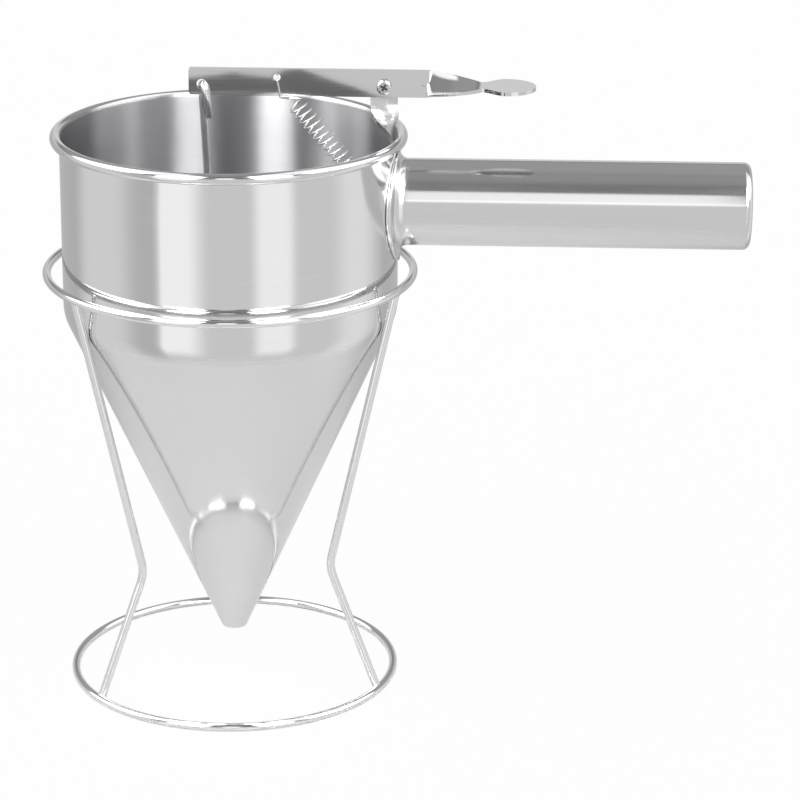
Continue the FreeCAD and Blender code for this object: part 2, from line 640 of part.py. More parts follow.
def spring_path():
    """Whole wire: upper hook through the lever, coil, and lower hook through the tab."""
    front_y = LEVER_FRONT_Y - SPRING_FACE_GAP - SPRING_WIRE_RADIUS
    back_y = LEVER_BACK_Y + SPRING_FACE_GAP + SPRING_WIRE_RADIUS
    wire_z = SPRING_HOLE_Z - SPRING_HOLE_RADIUS + SPRING_WIRE_RADIUS + SPRING_FACE_GAP
    corner = V(SPRING_HOLE_X + SPRING_HOOK_SHIFT, front_y, SPRING_HOLE_Z - SPRING_HOOK_DROP)
    first, first_heading = coil_point(0)
    lead = corner + (V(first.x, front_y, first.z) - corner) * SPRING_LEAD_SHARE
    upper = [
        V(SPRING_HOLE_X, back_y, wire_z + SPRING_END_LENGTH),
        V(SPRING_HOLE_X, back_y, wire_z),
        V(SPRING_HOLE_X, front_y, wire_z),
        corner,
        lead,
    ]
    edges = rounded_path(upper, [SPRING_BEND_RADIUS] * 3).OrderedEdges
    edges += biarc(lead, (lead - corner).normalize(), first, first_heading)
    halves = 2 * SPRING_TURNS
    for half in range(halves):
        point, heading = coil_point(half / 2)
        next_point, next_heading = coil_point((half + 1) / 2)
        edges += biarc(point, heading, next_point, next_heading)
    last, last_heading = coil_point(SPRING_TURNS)
    anchor = anchor_point()
    above = anchor + V(0, 0, STRIP_THICKNESS)
    below = anchor - V(0, 0, STRIP_THICKNESS + SPRING_FACE_GAP + SPRING_WIRE_RADIUS)
    edges += biarc(last, last_heading, above, AXIS_Z * -1)
    lower = [above, below, below - V(SPRING_END_LENGTH, 0, 0)]
    edges += rounded_path(lower, [SPRING_BEND_RADIUS]).OrderedEdges
    return Part.Wire(edges)


def least_self_gap(path, step):
    """Least clear gap between parts of the wire that are not next to each other."""
    points = path.discretize(Distance=step)
    skip = int(SPRING_NEXT_WIRE / step)
    least = path.Length
    for index, point in enumerate(points):
        for other in points[index + skip:]:
            least = min(least, point.distanceToPoint(other))
    return least - 2 * SPRING_WIRE_RADIUS


def return_spring():
    """Spring as one unbroken wire."""
    path = spring_path()
    gap = least_self_gap(path, SPRING_CHECK_STEP)
    print("spring wire length", round(path.Length, 1), "least self gap", round(gap, 2))
    return tube_along(path, SPRING_WIRE_RADIUS)


PARTS = {
    "funnel_body": funnel_body,
    "handle_saddle": handle_saddle,
    "handle_tube": handle_tube,
    "handle_end_cap": handle_end_cap,
    "lever": lever,
    "lever_bracket": lever_bracket,
    "pivot_screw": pivot_screw,
    "pivot_nut": pivot_nut,
    "return_spring": return_spring,
    "valve_rod": valve_rod,
    "valve_plug": valve_plug,
    "stand_base_ring": stand_base_ring,
    "stand_top_ring": top_ring,
}


def main():
    """Write one file per piece."""
    os.makedirs("parts", exist_ok=True)
    shapes = {name: make() for name, make in PARTS.items()}
    for index, name in enumerate(LEG_NAMES):
        shapes[name] = stand_leg(LEFT_LEG_DEG + LEG_SPACING_DEG * index)
    for name, shape in shapes.items():
        print(name, shape.isValid(), len(shape.Solids), round(shape.Volume, 2))
        shape.exportStep(f"parts/{name}.step")


main()
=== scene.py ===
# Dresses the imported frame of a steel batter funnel: polished funnel and tube handle, twisted lever
# and bracket, sprung rod valve and a bright wire stand. Metres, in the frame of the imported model.

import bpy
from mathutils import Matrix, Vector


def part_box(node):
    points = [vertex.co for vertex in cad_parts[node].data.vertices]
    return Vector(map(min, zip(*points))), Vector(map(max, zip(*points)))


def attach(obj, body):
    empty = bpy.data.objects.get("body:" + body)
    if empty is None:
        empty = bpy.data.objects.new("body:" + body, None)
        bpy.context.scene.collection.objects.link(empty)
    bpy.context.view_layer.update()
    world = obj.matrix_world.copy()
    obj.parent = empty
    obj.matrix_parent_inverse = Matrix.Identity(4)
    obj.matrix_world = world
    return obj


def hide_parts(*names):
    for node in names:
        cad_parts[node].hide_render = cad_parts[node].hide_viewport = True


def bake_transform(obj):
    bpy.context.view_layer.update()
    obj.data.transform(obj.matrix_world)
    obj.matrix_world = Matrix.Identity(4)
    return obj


bl_info = {
    "name": "Batter Dispenser",
    "version": (1, 0, 0),
    "blender": (4, 5, 0),
    "location": "3D View > Sidebar > Dispenser",
    "description": "Builds the finished look of a steel batter funnel around its packed frame",
    "category": "Object",
}

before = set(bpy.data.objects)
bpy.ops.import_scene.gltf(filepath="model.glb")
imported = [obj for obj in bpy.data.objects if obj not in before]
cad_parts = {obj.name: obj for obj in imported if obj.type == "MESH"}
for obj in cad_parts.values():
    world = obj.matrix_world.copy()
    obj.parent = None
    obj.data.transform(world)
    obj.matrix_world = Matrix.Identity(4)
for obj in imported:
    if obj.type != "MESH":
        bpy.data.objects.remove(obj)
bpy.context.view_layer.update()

import math

import bmesh
import bpy
from bpy.props import FloatProperty, IntProperty, PointerProperty, StringProperty
from mathutils import Matrix, Vector

MM = 0.001

# Sizes read from the frame
FUNNEL_LOW, FUNNEL_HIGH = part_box("funnel_body")
SADDLE_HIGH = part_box("handle_saddle")[1]
TUBE_LOW, TUBE_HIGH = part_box("handle_tube")
CAP_LOW, CAP_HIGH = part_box("handle_end_cap")
LEVER_LOW, LEVER_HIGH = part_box("lever")
BRACKET_LOW, BRACKET_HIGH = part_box("lever_bracket")
SCREW_LOW, SCREW_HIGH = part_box("pivot_screw")
NUT_LOW, NUT_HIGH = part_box("pivot_nut")
PLUG_LOW, PLUG_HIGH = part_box("valve_plug")
TOP_RING_LOW, TOP_RING_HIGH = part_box("stand_top_ring")
BASE_RING_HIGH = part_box("stand_base_ring")[1]
HANDLE_RADIUS = (TUBE_HIGH.z - TUBE_LOW.z) / 2
HANDLE_Z = (TUBE_HIGH.z + TUBE_LOW.z) / 2
PIVOT_X = (SCREW_LOW.x + SCREW_HIGH.x) / 2
PIVOT_Z = (SCREW_LOW.z + SCREW_HIGH.z) / 2
WIRE_RADIUS = (TOP_RING_HIGH.z - TOP_RING_LOW.z) / 2
TOP_RING_Z = (TOP_RING_HIGH.z + TOP_RING_LOW.z) / 2
TOP_RING_RADIUS = TOP_RING_HIGH.x - WIRE_RADIUS
BASE_RING_RADIUS = BASE_RING_HIGH.x - WIRE_RADIUS
BASE_RING_Z = BASE_RING_HIGH.z - WIRE_RADIUS
AXIS_X = Vector((1, 0, 0))
AXIS_Y = Vector((0, 1, 0))
AXIS_Z = Vector((0, 0, 1))
QUARTER = math.pi / 2

# Edges up to these angles, in degrees, are shaded smooth
SHEET_SMOOTH = 40.0
WIRE_SMOOTH = 50.0
TURNED_SMOOTH = 30.0
BEAD_SMOOTH = 60.0

# Radius of the small rings in the middle of turned faces, before they are closed
POLE_RADIUS = 0.1 * MM

# Gaps between the fitted pieces
PIVOT_GAP = 0.05 * MM
THREAD_GAP = 0.02 * MM
PRESS_GAP = 0.03 * MM
HOOK_GAP = 0.3 * MM

# Length of the drills in thicknesses of the sheet
DRILL_REACH = 6
# Steps round a quarter of the rod and of the stand's wire, less one
WIRE_SIDES = 10


def length(name, description, default):
    """Property for a size in metres."""
    return FloatProperty(name=name, description=description, default=default, unit="LENGTH", precision=5)


def angle(name, description, degrees):
    """Property for an angle."""
    return FloatProperty(name=name, description=description, default=math.radians(degrees), unit="ROTATION")


def colour(name, description, default):
    """Property for a colour as an sRGB hex value."""
    return StringProperty(name=name, description=description, default=default)


class FunnelSizes(bpy.types.PropertyGroup):
    """Sizes of the spun funnel."""

    wall: length("Wall", "Thickness of the spun sheet", 0.9 * MM)
    curl_radius: length("Rim curl", "Outer radius of the rolled rim", 2.325 * MM)
    curl_end: angle("Curl end", "Where the rolled edge stops under the rim", -115.0)
    shoulder_z: length("Shoulder height", "Height where the cone's line meets the cylinder's", 161.2 * MM)
    shoulder_radius: length("Shoulder radius", "Round between cylinder and cone", 20.0 * MM)
    mouth_radius: length("Mouth radius", "Outer radius of the mouth", 5.2 * MM)
    segments: IntProperty(name="Segments", description="Steps round the funnel", default=256)


class HandleSizes(bpy.types.PropertyGroup):
    """Sizes of the tube handle."""

    wall: length("Tube wall", "Thickness of the tube", 1.0 * MM)
    flange_thickness: length("Flange thickness", "Sheet of the saddle", 0.9 * MM)
    flange_fillet: length("Flange fillet", "Round between flange and neck", 3.0 * MM)
    flange_edge: length("Flange edge", "Round of the flange's outer edge", 0.35 * MM)
    neck_step: length("Neck step", "Neck's surface below the tube's", 0.05 * MM)
    seam_groove: length("Seam groove", "Depth of the line between tube and cap", 0.12 * MM)
    cap_round: length("Cap edge", "Round over the tube's end and the cap's edge", 3.0 * MM)
    cap_dish: length("Cap dish", "Depth of the shallow dish in the cap's face", 0.5 * MM)
    cap_inside: length("Cap inside", "Depth of the cap's inner face below its end", 1.6 * MM)
    segments: IntProperty(name="Segments", description="Steps round the tube", default=160)


class LeverSizes(bpy.types.PropertyGroup):
    """Sizes of the lever and its bracket."""

    thickness: length("Strip thickness", "Sheet of the lever and the bracket", 1.5 * MM)
    width: length("Lever width", "Width of the lever strip", 11.3 * MM)
    centre_above_pivot: length("Centre above pivot", "Strip's centre line above the screw", 1.2 * MM)
    face_gap: length("Face gap", "Running gap between lever and bracket", 0.3 * MM)
    twist_start: length("Twist start", "Distance of the crease beyond the pivot", 17.7 * MM)
    twist_length: length("Twist length", "Length of the quarter twist", 22.0 * MM)
    tab_root: length("Tab root", "From the twist's end to the widest point of the tab", 9.5 * MM)
    tab_half_width: length("Tab half width", "Half the widest width of the tab", 12.0 * MM)
    tab_bulge: length("Tab bulge", "How much the tab's root swells early", 2.0 * MM)
    tab_drop: length("Tab drop", "Tab's height below the strip's centre line", 1.1 * MM)
    corner: length("Corner radius", "Corners at the rod's end", 1.2 * MM)
    edge: length("Edge round", "Tumbled edge of the sheet", 0.22 * MM)
    rod_hole_x: length("Rod hole", "Place of the rod's hole", -10.7 * MM)
    rod_hole_drop: length("Rod hole drop", "Rod's hole below the centre line", 1.2 * MM)
    rod_hole_radius: length("Rod hole radius", "Radius of the rod's hole", 2.1 * MM)
    spring_hole_x: length("Spring hole", "Place of the spring's hole", 19.9 * MM)
    spring_hole_rise: length("Spring hole rise", "Spring's hole above the centre line", 2.0 * MM)
    spring_hole_radius: length("Spring hole radius", "Radius of the spring's hole", 1.5 * MM)
    bracket_width: length("Bracket width", "Width of the bracket strip", 11.1 * MM)
    bracket_corner: length("Bracket corner", "Rounded top of the bracket's ear", 4.8 * MM)
    bracket_ear: length("Bracket ear", "Flat ear below the screw", 7.4 * MM)
    bracket_twist: length("Bracket twist", "Length of the bracket's quarter twist", 14.3 * MM)
    wall_gap: length("Wall gap", "Gap between the bracket's edges and the wall", 0.1 * MM)
    bracket_shift: length("Bracket shift", "Length over which the bracket leans to the wall", 20.3 * MM)
    tab_reach: length("Anchor tab reach", "Length of the spring's tab", 4.8 * MM)
    tab_width: length("Anchor tab width", "Width of the spring's tab", 7.0 * MM)
    tab_bend: length("Anchor tab bend", "Radius of the tab's bend", 1.3 * MM)
    anchor_hole_radius: length("Anchor hole radius", "Radius of the hole for the lower hook", 1.2 * MM)
    anchor_hole_inset: length("Anchor hole inset", "Hole's distance from the tab's end", 2.4 * MM)


class PivotSizes(bpy.types.PropertyGroup):
    """Sizes of the pivot screw and its nut."""

    shank_radius: length("Shank radius", "Radius of the screw", 1.5 * MM)
    head_height: length("Head height", "Height of the pan head", 2.2 * MM)
    head_round: length("Head round", "Round of the pan head's edge", 0.9 * MM)
    recess_width: length("Recess width", "Width of each arm of the cross recess", 0.95 * MM)
    recess_span: length("Recess span", "Span of the cross recess", 3.8 * MM)
    recess_depth: length("Recess depth", "Depth of the cross recess", 1.3 * MM)
    recess_turn: angle("Recess turn", "How far the screw has been turned", 30.0)
    point_chamfer: length("Point chamfer", "Chamfer at the screw's end", 0.3 * MM)
    nut_flats: length("Nut flats", "Width of the nut across its flats", 5.5 * MM)
    nut_chamfer: length("Nut chamfer", "Height of the chamfer on the nut's corners", 0.35 * MM)
    nut_edge: length("Nut edge", "Round of the nut's edges", 0.08 * MM)


class SpringSizes(bpy.types.PropertyGroup):
    """Sizes of the return spring."""

    wire_radius: length("Wire radius", "Radius of the spring wire", 0.4 * MM)
    mean_radius: length("Coil radius", "Radius of the coil to the wire's centre", 3.5 * MM)
    turns: IntProperty(name="Turns", description="Open turns of the coil", default=18)
    steps: IntProperty(name="Steps", description="Points in each turn", default=20)
    hook_drop: length("Hook drop", "Length of the upper hook below its hole", 8.2 * MM)
    hook_shift: length("Hook shift", "Sideways run of the upper hook", 1.4 * MM)
    hook_round: length("Hook round", "Round of the hooks' bends", 0.6 * MM)
    coil_ahead: length("Coil ahead", "Coil's start beyond its hole", 7.4 * MM)
    coil_drop: length("Coil drop", "Coil's start below its hole", 11.0 * MM)
    end_run: length("End run", "Straight run from the coil to its tab", 5.74 * MM)
    end_length: length("End length", "Length of each bent end", 2.4 * MM)


class ValveSizes(bpy.types.PropertyGroup):
    """Sizes of the rod and the plug."""

    rod_radius: length("Rod radius", "Radius of the valve rod", 1.45 * MM)
    strip_gap: length("Strip gap", "Gap between the hook and the lever", 0.35 * MM)
    hook_length: length("Hook length", "Length of the free hook", 13.5 * MM)
    hook_lean: length("Hook lean", "Sideways lean of the hook's end", 2.0 * MM)
    hook_splay: length("Hook splay", "Sideways step of the hook's front leg", 1.3 * MM)
    rod_splay: length("Rod splay", "Sideways step of the rod behind the lever", 0.4 * MM)
    hook_flat: length("Hook flat", "Half the straight run between the hook's two bends", 0.1 * MM)
    end_round: length("End round", "Round of the rod's cut ends", 0.12 * MM)
    straight: length("Straight run", "Upright run of the rod above the plug", 12.6 * MM)
    slant_round: length("Slant round", "Radius of the rod's lower bend", 30.0 * MM)
    bore_depth: length("Bore depth", "How far the rod goes into the plug", 7.0 * MM)
    cone_height: length("Plug cone", "Height of the plug's seat", 4.0 * MM)
    body_height: length("Plug body", "Height of the plug's body", 4.0 * MM)
    collar_radius: length("Plug collar", "Radius at the plug's top", 2.9 * MM)
    plug_ease: length("Plug edges", "Chamfer of the plug's edges", 0.2 * MM)


class StandSizes(bpy.types.PropertyGroup):
    """Sizes of the wire stand."""

    bend_radius: length("Bend place", "Radius at which the legs bend", 44.9 * MM)
    bend_z: length("Bend height", "Height of the legs' bends", 53.0 * MM)
    bend_round: length("Bend round", "Radius of the legs' bends", 15.0 * MM)
    top_outset: length("Ring outset", "Top ring's centre outside the legs' line", 0.74 * MM)
    top_drop: length("Leg top", "Legs' tops below the top ring's centre", 1.0 * MM)
    foot_inset: length("Foot inset", "Legs' feet inside the base ring's centre", 1.6 * MM)
    foot_rise: length("Foot rise", "Legs' feet above the base ring's centre", 1.0 * MM)
    left_turn: angle("Left leg", "Place of the left leg round the stand", 218.0)
    leg_turn: angle("Leg spacing", "Turn from one leg to the next", 120.0)
    weld_radius: length("Weld size", "Radius of a weld bead", 1.9 * MM)


class SteelFinishes(bpy.types.PropertyGroup):
    """Colours and polish of the steels."""

    funnel: colour("Funnel steel", "Polished stainless sheet", "#E2E2E3")
    inside: colour("Inside steel", "Brushed stainless sheet inside the funnel", "#BABABC")
    tube: colour("Tube steel", "Polished stainless tube", "#E2E2E2")
    strip: colour("Strip steel", "Polished stainless strip", "#E0E0E1")
    wire: colour("Wire steel", "Bright plated wire", "#EAEAEB")
    rod: colour("Rod steel", "Drawn stainless rod", "#E4E4E4")
    turned: colour("Turned steel", "Lathe-turned stainless bar", "#D2D2D3")
    # The recess colour is painted shade: far darker than the screw's steel, standing in for the shadow
    # inside the cross.
    recess: colour("Recess painted shade", "Painted shade in the screw's punched cross recess", "#6E6E6F")
    weld: colour("Weld", "Polished weld metal", "#D6D5D3")


class StageSettings(bpy.types.PropertyGroup):
    """Camera, floor and studio."""

    camera_x: length("Camera X", "Camera's place along X", 107.9 * MM)
    camera_y: length("Camera Y", "Camera's place along Y", -1258.9 * MM)
    camera_z: length("Camera Z", "Camera's height", 556.7 * MM)
    camera_yaw: angle("Camera yaw", "Camera's turn about Z", -1.7)
    camera_pitch: angle("Camera pitch", "How far the camera looks down", 19.051)
    camera_roll: angle("Camera roll", "Camera's turn about its view", 0.384)
    lens: FloatProperty(name="Lens", description="Focal length in millimetres", default=143.05)
    floor_colour: colour("Floor", "Pale matt floor", "#EDEDED")
    floor_radius: length("Floor radius", "Radius of the floor", 4.0)
    near_floor: length("Near floor", "Radius of the floor that shows in the steel", 0.2)


def select_only(piece):
    """Leave one object selected and active, in object mode."""
    clear_selection()
    piece.select_set(True)
    bpy.context.view_layer.objects.active = piece


def clear_selection():
    """Deselect everything, in object mode."""
    if bpy.context.object and bpy.context.object.mode != "OBJECT":
        bpy.ops.object.mode_set(mode="OBJECT")
    bpy.ops.object.select_all(action="DESELECT")


def named(name):
    """Give the active object and its data a name."""
    piece = bpy.context.object
    piece.name = name
    piece.data.name = name
    return piece


def settle(piece):
    """Put the piece's place, turn and scale into its mesh."""
    select_only(piece)
    bpy.ops.object.transform_apply(location=True, rotation=True, scale=True)


def shaped(piece, kind, **settings):
    """Add a modifier and apply it."""
    select_only(piece)
    modifier = piece.modifiers.new(kind.title(), kind)
    for key, value in settings.items():
        setattr(modifier, key, value)
    bpy.ops.object.modifier_apply(modifier=modifier.name)


def outward(piece):
    """Merge doubles and turn every face outwards."""
    select_only(piece)
    bpy.ops.object.mode_set(mode="EDIT")
    bpy.ops.mesh.select_all(action="SELECT")
    bpy.ops.mesh.remove_doubles(threshold=1e-6)
    bpy.ops.mesh.normals_make_consistent(inside=False)
    bpy.ops.object.mode_set(mode="OBJECT")


def smooth(piece, degrees=35.0):
    """Smooth shading with sharp edges kept, flat faces left flat."""
    select_only(piece)
    bpy.ops.object.shade_smooth_by_angle(angle=math.radians(degrees), keep_sharp_edges=True)


def dressed(piece, material, body, slot, *nodes):
    """Give a finished piece its material and body, and hide the nodes that it stands for; slot is not used.
    """
    settle(piece)
    piece.data.materials.clear()
    piece.data.materials.append(material)
    if body:
        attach(piece, body)
    if nodes:
        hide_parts(*nodes)
    return piece


def turned(name, profile, segments):
    """Ring of sheet or bar turned about Z: a circle extruded and scaled through (radius, z) corners."""
    clear_selection()
    radius, height = profile[0]
    bpy.ops.mesh.primitive_circle_add(vertices=segments, radius=radius, location=(0, 0, height))
    piece = named(name)
    settle(piece)
    bpy.ops.object.mode_set(mode="EDIT")
    bpy.ops.mesh.select_all(action="SELECT")
    for next_radius, next_height in profile[1:]:
        step = (0, 0, next_height - height)
        bpy.ops.mesh.extrude_edges_move(TRANSFORM_OT_translate={"value": step})
        share = next_radius / radius
        bpy.ops.transform.resize(value=(share, share, 1), center_override=(0, 0, next_height))
        radius, height = next_radius, next_height
    bpy.ops.object.mode_set(mode="OBJECT")
    outward(piece)
    return piece


def laid_along_x(piece, z):
    """Turn a piece made about Z so that its axis lies along X at a height."""
    piece.rotation_euler = (0, QUARTER, 0)
    piece.location = (0, 0, z)
    settle(piece)


def shares(steps, first=1):
    """Even shares of a whole, from the first step to the last."""
    return [step / steps for step in range(first, steps + 1)]


def between(start, end, steps):
    """Evenly spaced points between two others, without them."""
    return [tuple(a + (b - a) * share for a, b in zip(start, end)) for share in shares(steps)[:-1]]


def arc(centre, radius, start_degrees, end_degrees, steps):
    """Points (radius, z) of an arc, from one angle to another."""
    points = []
    for share in shares(steps, 0):
        turn = math.radians(start_degrees + (end_degrees - start_degrees) * share)
        points.append((centre[0] + radius * math.cos(turn), centre[1] + radius * math.sin(turn)))
    return points


def rounded_route(corners, radii, steps=14):
    """Points of straight runs joined by tangent arcs, one radius per inner corner."""
    route = [corners[0]]
    for before, corner, after, radius in zip(corners, corners[1:], corners[2:], radii):
        back = (before - corner).normalized()
        ahead = (after - corner).normalized()
        half_turn = (math.pi - back.angle(ahead)) / 2
        centre = corner + (back + ahead).normalized() * (radius / math.cos(half_turn))
        start = corner + back * (radius * math.tan(half_turn)) - centre
        end = corner + ahead * (radius * math.tan(half_turn)) - centre
        turn_axis = start.cross(end).normalized()
        for share in shares(steps, 0):
            turn = Matrix.Rotation(2 * half_turn * share, 3, turn_axis)
            route.append(centre + turn @ start)
    route.append(corners[-1])
    return route


def bar(name, route, radius, sides=6, kind="POLY"):
    """Round wire along a route, converted to a closed mesh."""
    clear_selection()
    data = bpy.data.curves.new(name, "CURVE")
    data.dimensions = "3D"
    data.bevel_depth = radius
    data.bevel_resolution = sides
    data.use_fill_caps = True
    data.resolution_u = 3
    spline = data.splines.new(kind)
    spline.points.add(len(route) - 1)
    for point, place in zip(spline.points, route):
        point.co = (*place, 1)
    if kind == "NURBS":
        spline.order_u = 3
        spline.use_endpoint_u = True
    wire = bpy.data.objects.new(name, data)
    bpy.context.scene.collection.objects.link(wire)
    select_only(wire)
    bpy.ops.object.convert(target="MESH")
    piece = named(name)
    outward(piece)
    return piece


def strip(name, stations, across, turn_axis, thickness, cells=12):
    """Sheet strip through stations (centre, half width, turn), extruded from one to the next."""
    (first, half_width, turn), (second, _, _) = stations[:2]
    clear_selection()
    bpy.ops.mesh.primitive_grid_add(x_subdivisions=1, y_subdivisions=cells, size=2, location=(0, 0, 0))
    piece = named(name)
    run = second - first
    frame_turn = Matrix((run.normalized(), across, run.normalized().cross(across))).transposed()
    piece.rotation_euler = frame_turn.to_euler()
    piece.scale = (run.length / 2, half_width, 1)
    piece.location = first + run / 2
    settle(piece)
    bpy.ops.object.mode_set(mode="EDIT")
    bpy.ops.mesh.select_all(action="DESELECT")
    mesh = bmesh.from_edit_mesh(piece.data)
    for edge in mesh.edges:
        if all(abs((vertex.co - second).dot(run.normalized())) < 1e-7 for vertex in edge.verts):
            edge.select_set(True)
    bmesh.update_edit_mesh(piece.data)
    axis_name = "X" if abs(turn_axis.x) > 0.5 else "Z"
    centre, width, angle_now = second, half_width, turn
    for next_centre, next_width, next_turn in stations[2:]:
        bpy.ops.mesh.extrude_edges_move(TRANSFORM_OT_translate={"value": next_centre - centre})
        share = next_width / width
        bpy.ops.transform.resize(value=(share, share, share), center_override=next_centre)
        if next_turn != angle_now:
            bpy.ops.transform.rotate(
                value=angle_now - next_turn, orient_axis=axis_name, center_override=next_centre,
            )
        centre, width, angle_now = next_centre, next_width, next_turn
    bpy.ops.object.mode_set(mode="OBJECT")
    outward(piece)
    shaped(piece, "SOLIDIFY", thickness=thickness, offset=0.0, use_even_offset=True)
    return piece


def drilled(piece, name, radius, centre, axis, depth):
    """Cut a round hole through a piece."""
    clear_selection()
    bpy.ops.mesh.primitive_cylinder_add(vertices=64, radius=radius, depth=depth, location=centre)
    drill = named(name)
    drill.rotation_euler = Vector(axis).to_track_quat("Z", "Y").to_euler()
    settle(drill)
    shaped(piece, "BOOLEAN", operation="DIFFERENCE", object=drill, solver="EXACT")
    bpy.data.objects.remove(drill)


def eased_edges(piece, width, segments, degrees):
    """Round the edges that are sharper than an angle."""
    limit = math.radians(degrees)
    shaped(piece, "BEVEL", width=width, segments=segments, limit_method="ANGLE", angle_limit=limit)


def tumbled(piece, width, segments=3, edge_degrees=SHEET_SMOOTH, smooth_degrees=SHEET_SMOOTH):
    """Round the sharp edges a little and keep the flat faces flat in the light."""
    eased_edges(piece, width, segments, edge_degrees)
    smooth(piece, smooth_degrees)
    shaped(piece, "WEIGHTED_NORMAL", keep_sharp=True, weight=80)


def bare_tree(owner):
    """Emptied node tree of a material or a world."""
    owner.use_nodes = True
    owner.node_tree.nodes.clear()
    return owner.node_tree


def node(tree, kind, settings=None, inputs=None):
    """Add a node with its settings, and link or set its inputs."""
    made = tree.nodes.new(kind)
    for key, value in (settings or {}).items():
        setattr(made, key, value)
    for key, value in (inputs or {}).items():
        if isinstance(value, bpy.types.NodeSocket):
            tree.links.new(value, made.inputs[key])
        else:
            made.inputs[key].default_value = value
    return made


def linear(hex_value):
    """Linear colour of an sRGB hex value."""
    channels = [int(hex_value[place:place + 2], 16) / 255 for place in (1, 3, 5)]
    return [c / 12.92 if c <= 0.04045 else ((c + 0.055) / 1.055) ** 2.4 for c in channels] + [1.0]


def steel(
    name, hex_value, roughness, spread, line_scale, line_height, wave_scale, wave_height, stretch_up=0.0,
):
    """Metal with fine lines, slow waves and uneven polish.

    Scales are in lines or waves per metre and heights in metres. stretch_up draws reflections upwards.
    """
    material = bpy.data.materials.new(name)
    tree = bare_tree(material)
    place = node(tree, "ShaderNodeTexCoord").outputs["Object"]
    stretch = node(tree, "ShaderNodeMapping", None, {"Vector": place, "Scale": line_scale})
    lines = node(
        tree, "ShaderNodeTexNoise", {"noise_dimensions": "3D"},
        {"Vector": stretch.outputs[0], "Scale": 1.0, "Detail": 4.0, "Roughness": 0.6},
    )
    waves = node(
        tree, "ShaderNodeTexNoise", {"noise_dimensions": "3D"},
        {"Vector": place, "Scale": wave_scale, "Detail": 1.0, "Roughness": 0.4},
    )
    rough = node(
        tree, "ShaderNodeMapRange", None,
        {"Value": lines.outputs[0], "From Min": 0.3, "From Max": 0.7,
         "To Min": roughness - spread, "To Max": roughness + spread},
    )
    slow = node(
        tree, "ShaderNodeBump", None,
        {"Height": waves.outputs[0], "Strength": 1.0, "Distance": wave_height},
    )
    fine = node(
        tree, "ShaderNodeBump", None,
        {"Height": lines.outputs[0], "Strength": 1.0, "Distance": line_height, "Normal": slow.outputs[0]},
    )
    shade = node(
        tree, "ShaderNodeMapRange", None,
        {"Value": lines.outputs[0], "From Min": 0.25, "From Max": 0.75, "To Min": 0.975, "To Max": 1.0},
    )
    tint = node(
        tree, "ShaderNodeMix", {"data_type": "RGBA", "blend_type": "MULTIPLY"},
        {0: 1.0, 6: linear(hex_value), 7: shade.outputs[0]},
    )
    surface = node(
        tree, "ShaderNodeBsdfPrincipled", None,
        {"Base Color": tint.outputs[2], "Metallic": 1.0, "Roughness": rough.outputs[0],
         "Normal": fine.outputs[0]},
    )
    if stretch_up:
        round_axis = node(
            tree, "ShaderNodeVectorMath", {"operation": "CROSS_PRODUCT"},
            {0: (0, 0, 1), 1: place},
        )
        tree.links.new(round_axis.outputs[0], surface.inputs["Tangent"])
        surface.inputs["Anisotropic"].default_value = stretch_up
        surface.inputs["Anisotropic Rotation"].default_value = 0.25
    node(tree, "ShaderNodeOutputMaterial", None, {"Surface": surface.outputs[0]})
    return material


def spun_stainless():
    """Spun and polished stainless sheet: near mirror, with faint lines that run round the axis."""
    hex_value = bpy.context.scene.dispenser_finishes.funnel
    return steel("Spun polished stainless", hex_value, 0.09, 0.015, (10, 10, 900), 0.2e-6, 22.0, 40e-6)


def satin_inside():
    """The same sheet inside, left brushed by the spinning: its lines draw reflections up and down."""
    hex_value = bpy.context.scene.dispenser_finishes.inside
    return steel("Brushed spun stainless", hex_value, 0.3, 0.02, (12, 12, 700), 0.1e-6, 22.0, 10e-6, 1.0)


def drawn_tube_stainless():
    """Polished stainless tube: near mirror, with faint lines along its length."""
    hex_value = bpy.context.scene.dispenser_finishes.tube
    return steel("Polished stainless tube", hex_value, 0.12, 0.03, (14, 700, 700), 0.4e-6, 25.0, 20e-6)


def rolled_strip_stainless():
    """Cold-rolled stainless strip, polished after pressing: grain along the strip."""
    hex_value = bpy.context.scene.dispenser_finishes.strip
    return steel("Rolled stainless strip", hex_value, 0.045, 0.015, (30, 900, 900), 0.5e-6, 60.0, 12e-6)


def recess_steel_painted_shade():
    """Punched cross recess of a stainless screw: rough from the punch, and darker and even as painted shade,
    so the cross reads at a glance.
    """
    hex_value = bpy.context.scene.dispenser_finishes.recess
    return steel("Punched recess with painted shade", hex_value, 0.42, 0.03, (400, 400, 400), 2e-6, 60.0, 1e-6)


def pressed_stainless():
    """Stainless sheet drawn to shape in a press: a softer polish, with the sheet's slow waves."""
    hex_value = bpy.context.scene.dispenser_finishes.strip
    return steel("Pressed stainless sheet", hex_value, 0.2, 0.03, (300, 300, 300), 0.3e-6, 60.0, 12e-6)


def bright_wire():
    """Bright plated mild steel wire: whiter and smoother than the stainless sheet."""
    hex_value = bpy.context.scene.dispenser_finishes.wire
    return steel("Bright plated wire", hex_value, 0.08, 0.03, (220, 220, 220), 0.6e-6, 90.0, 10e-6)


def drawn_rod_stainless():
    """Drawn stainless rod and spring wire: bright, with die lines along it."""
    hex_value = bpy.context.scene.dispenser_finishes.rod
    return steel("Drawn stainless wire", hex_value, 0.12, 0.04, (900, 900, 40), 0.5e-6, 120.0, 6e-6)


def lathe_turned_stainless():
    """Lathe-turned stainless bar: duller, with tool lines round it."""
    hex_value = bpy.context.scene.dispenser_finishes.turned
    return steel("Turned stainless bar", hex_value, 0.22, 0.06, (40, 40, 2600), 1.2e-6, 200.0, 4e-6)


def weld_metal():
    """Buffed spot of weld metal: lumpy and slightly warm."""
    hex_value = bpy.context.scene.dispenser_finishes.weld
    return steel("Buffed weld", hex_value, 0.28, 0.1, (1200, 1200, 1200), 8e-6, 500.0, 60e-6)


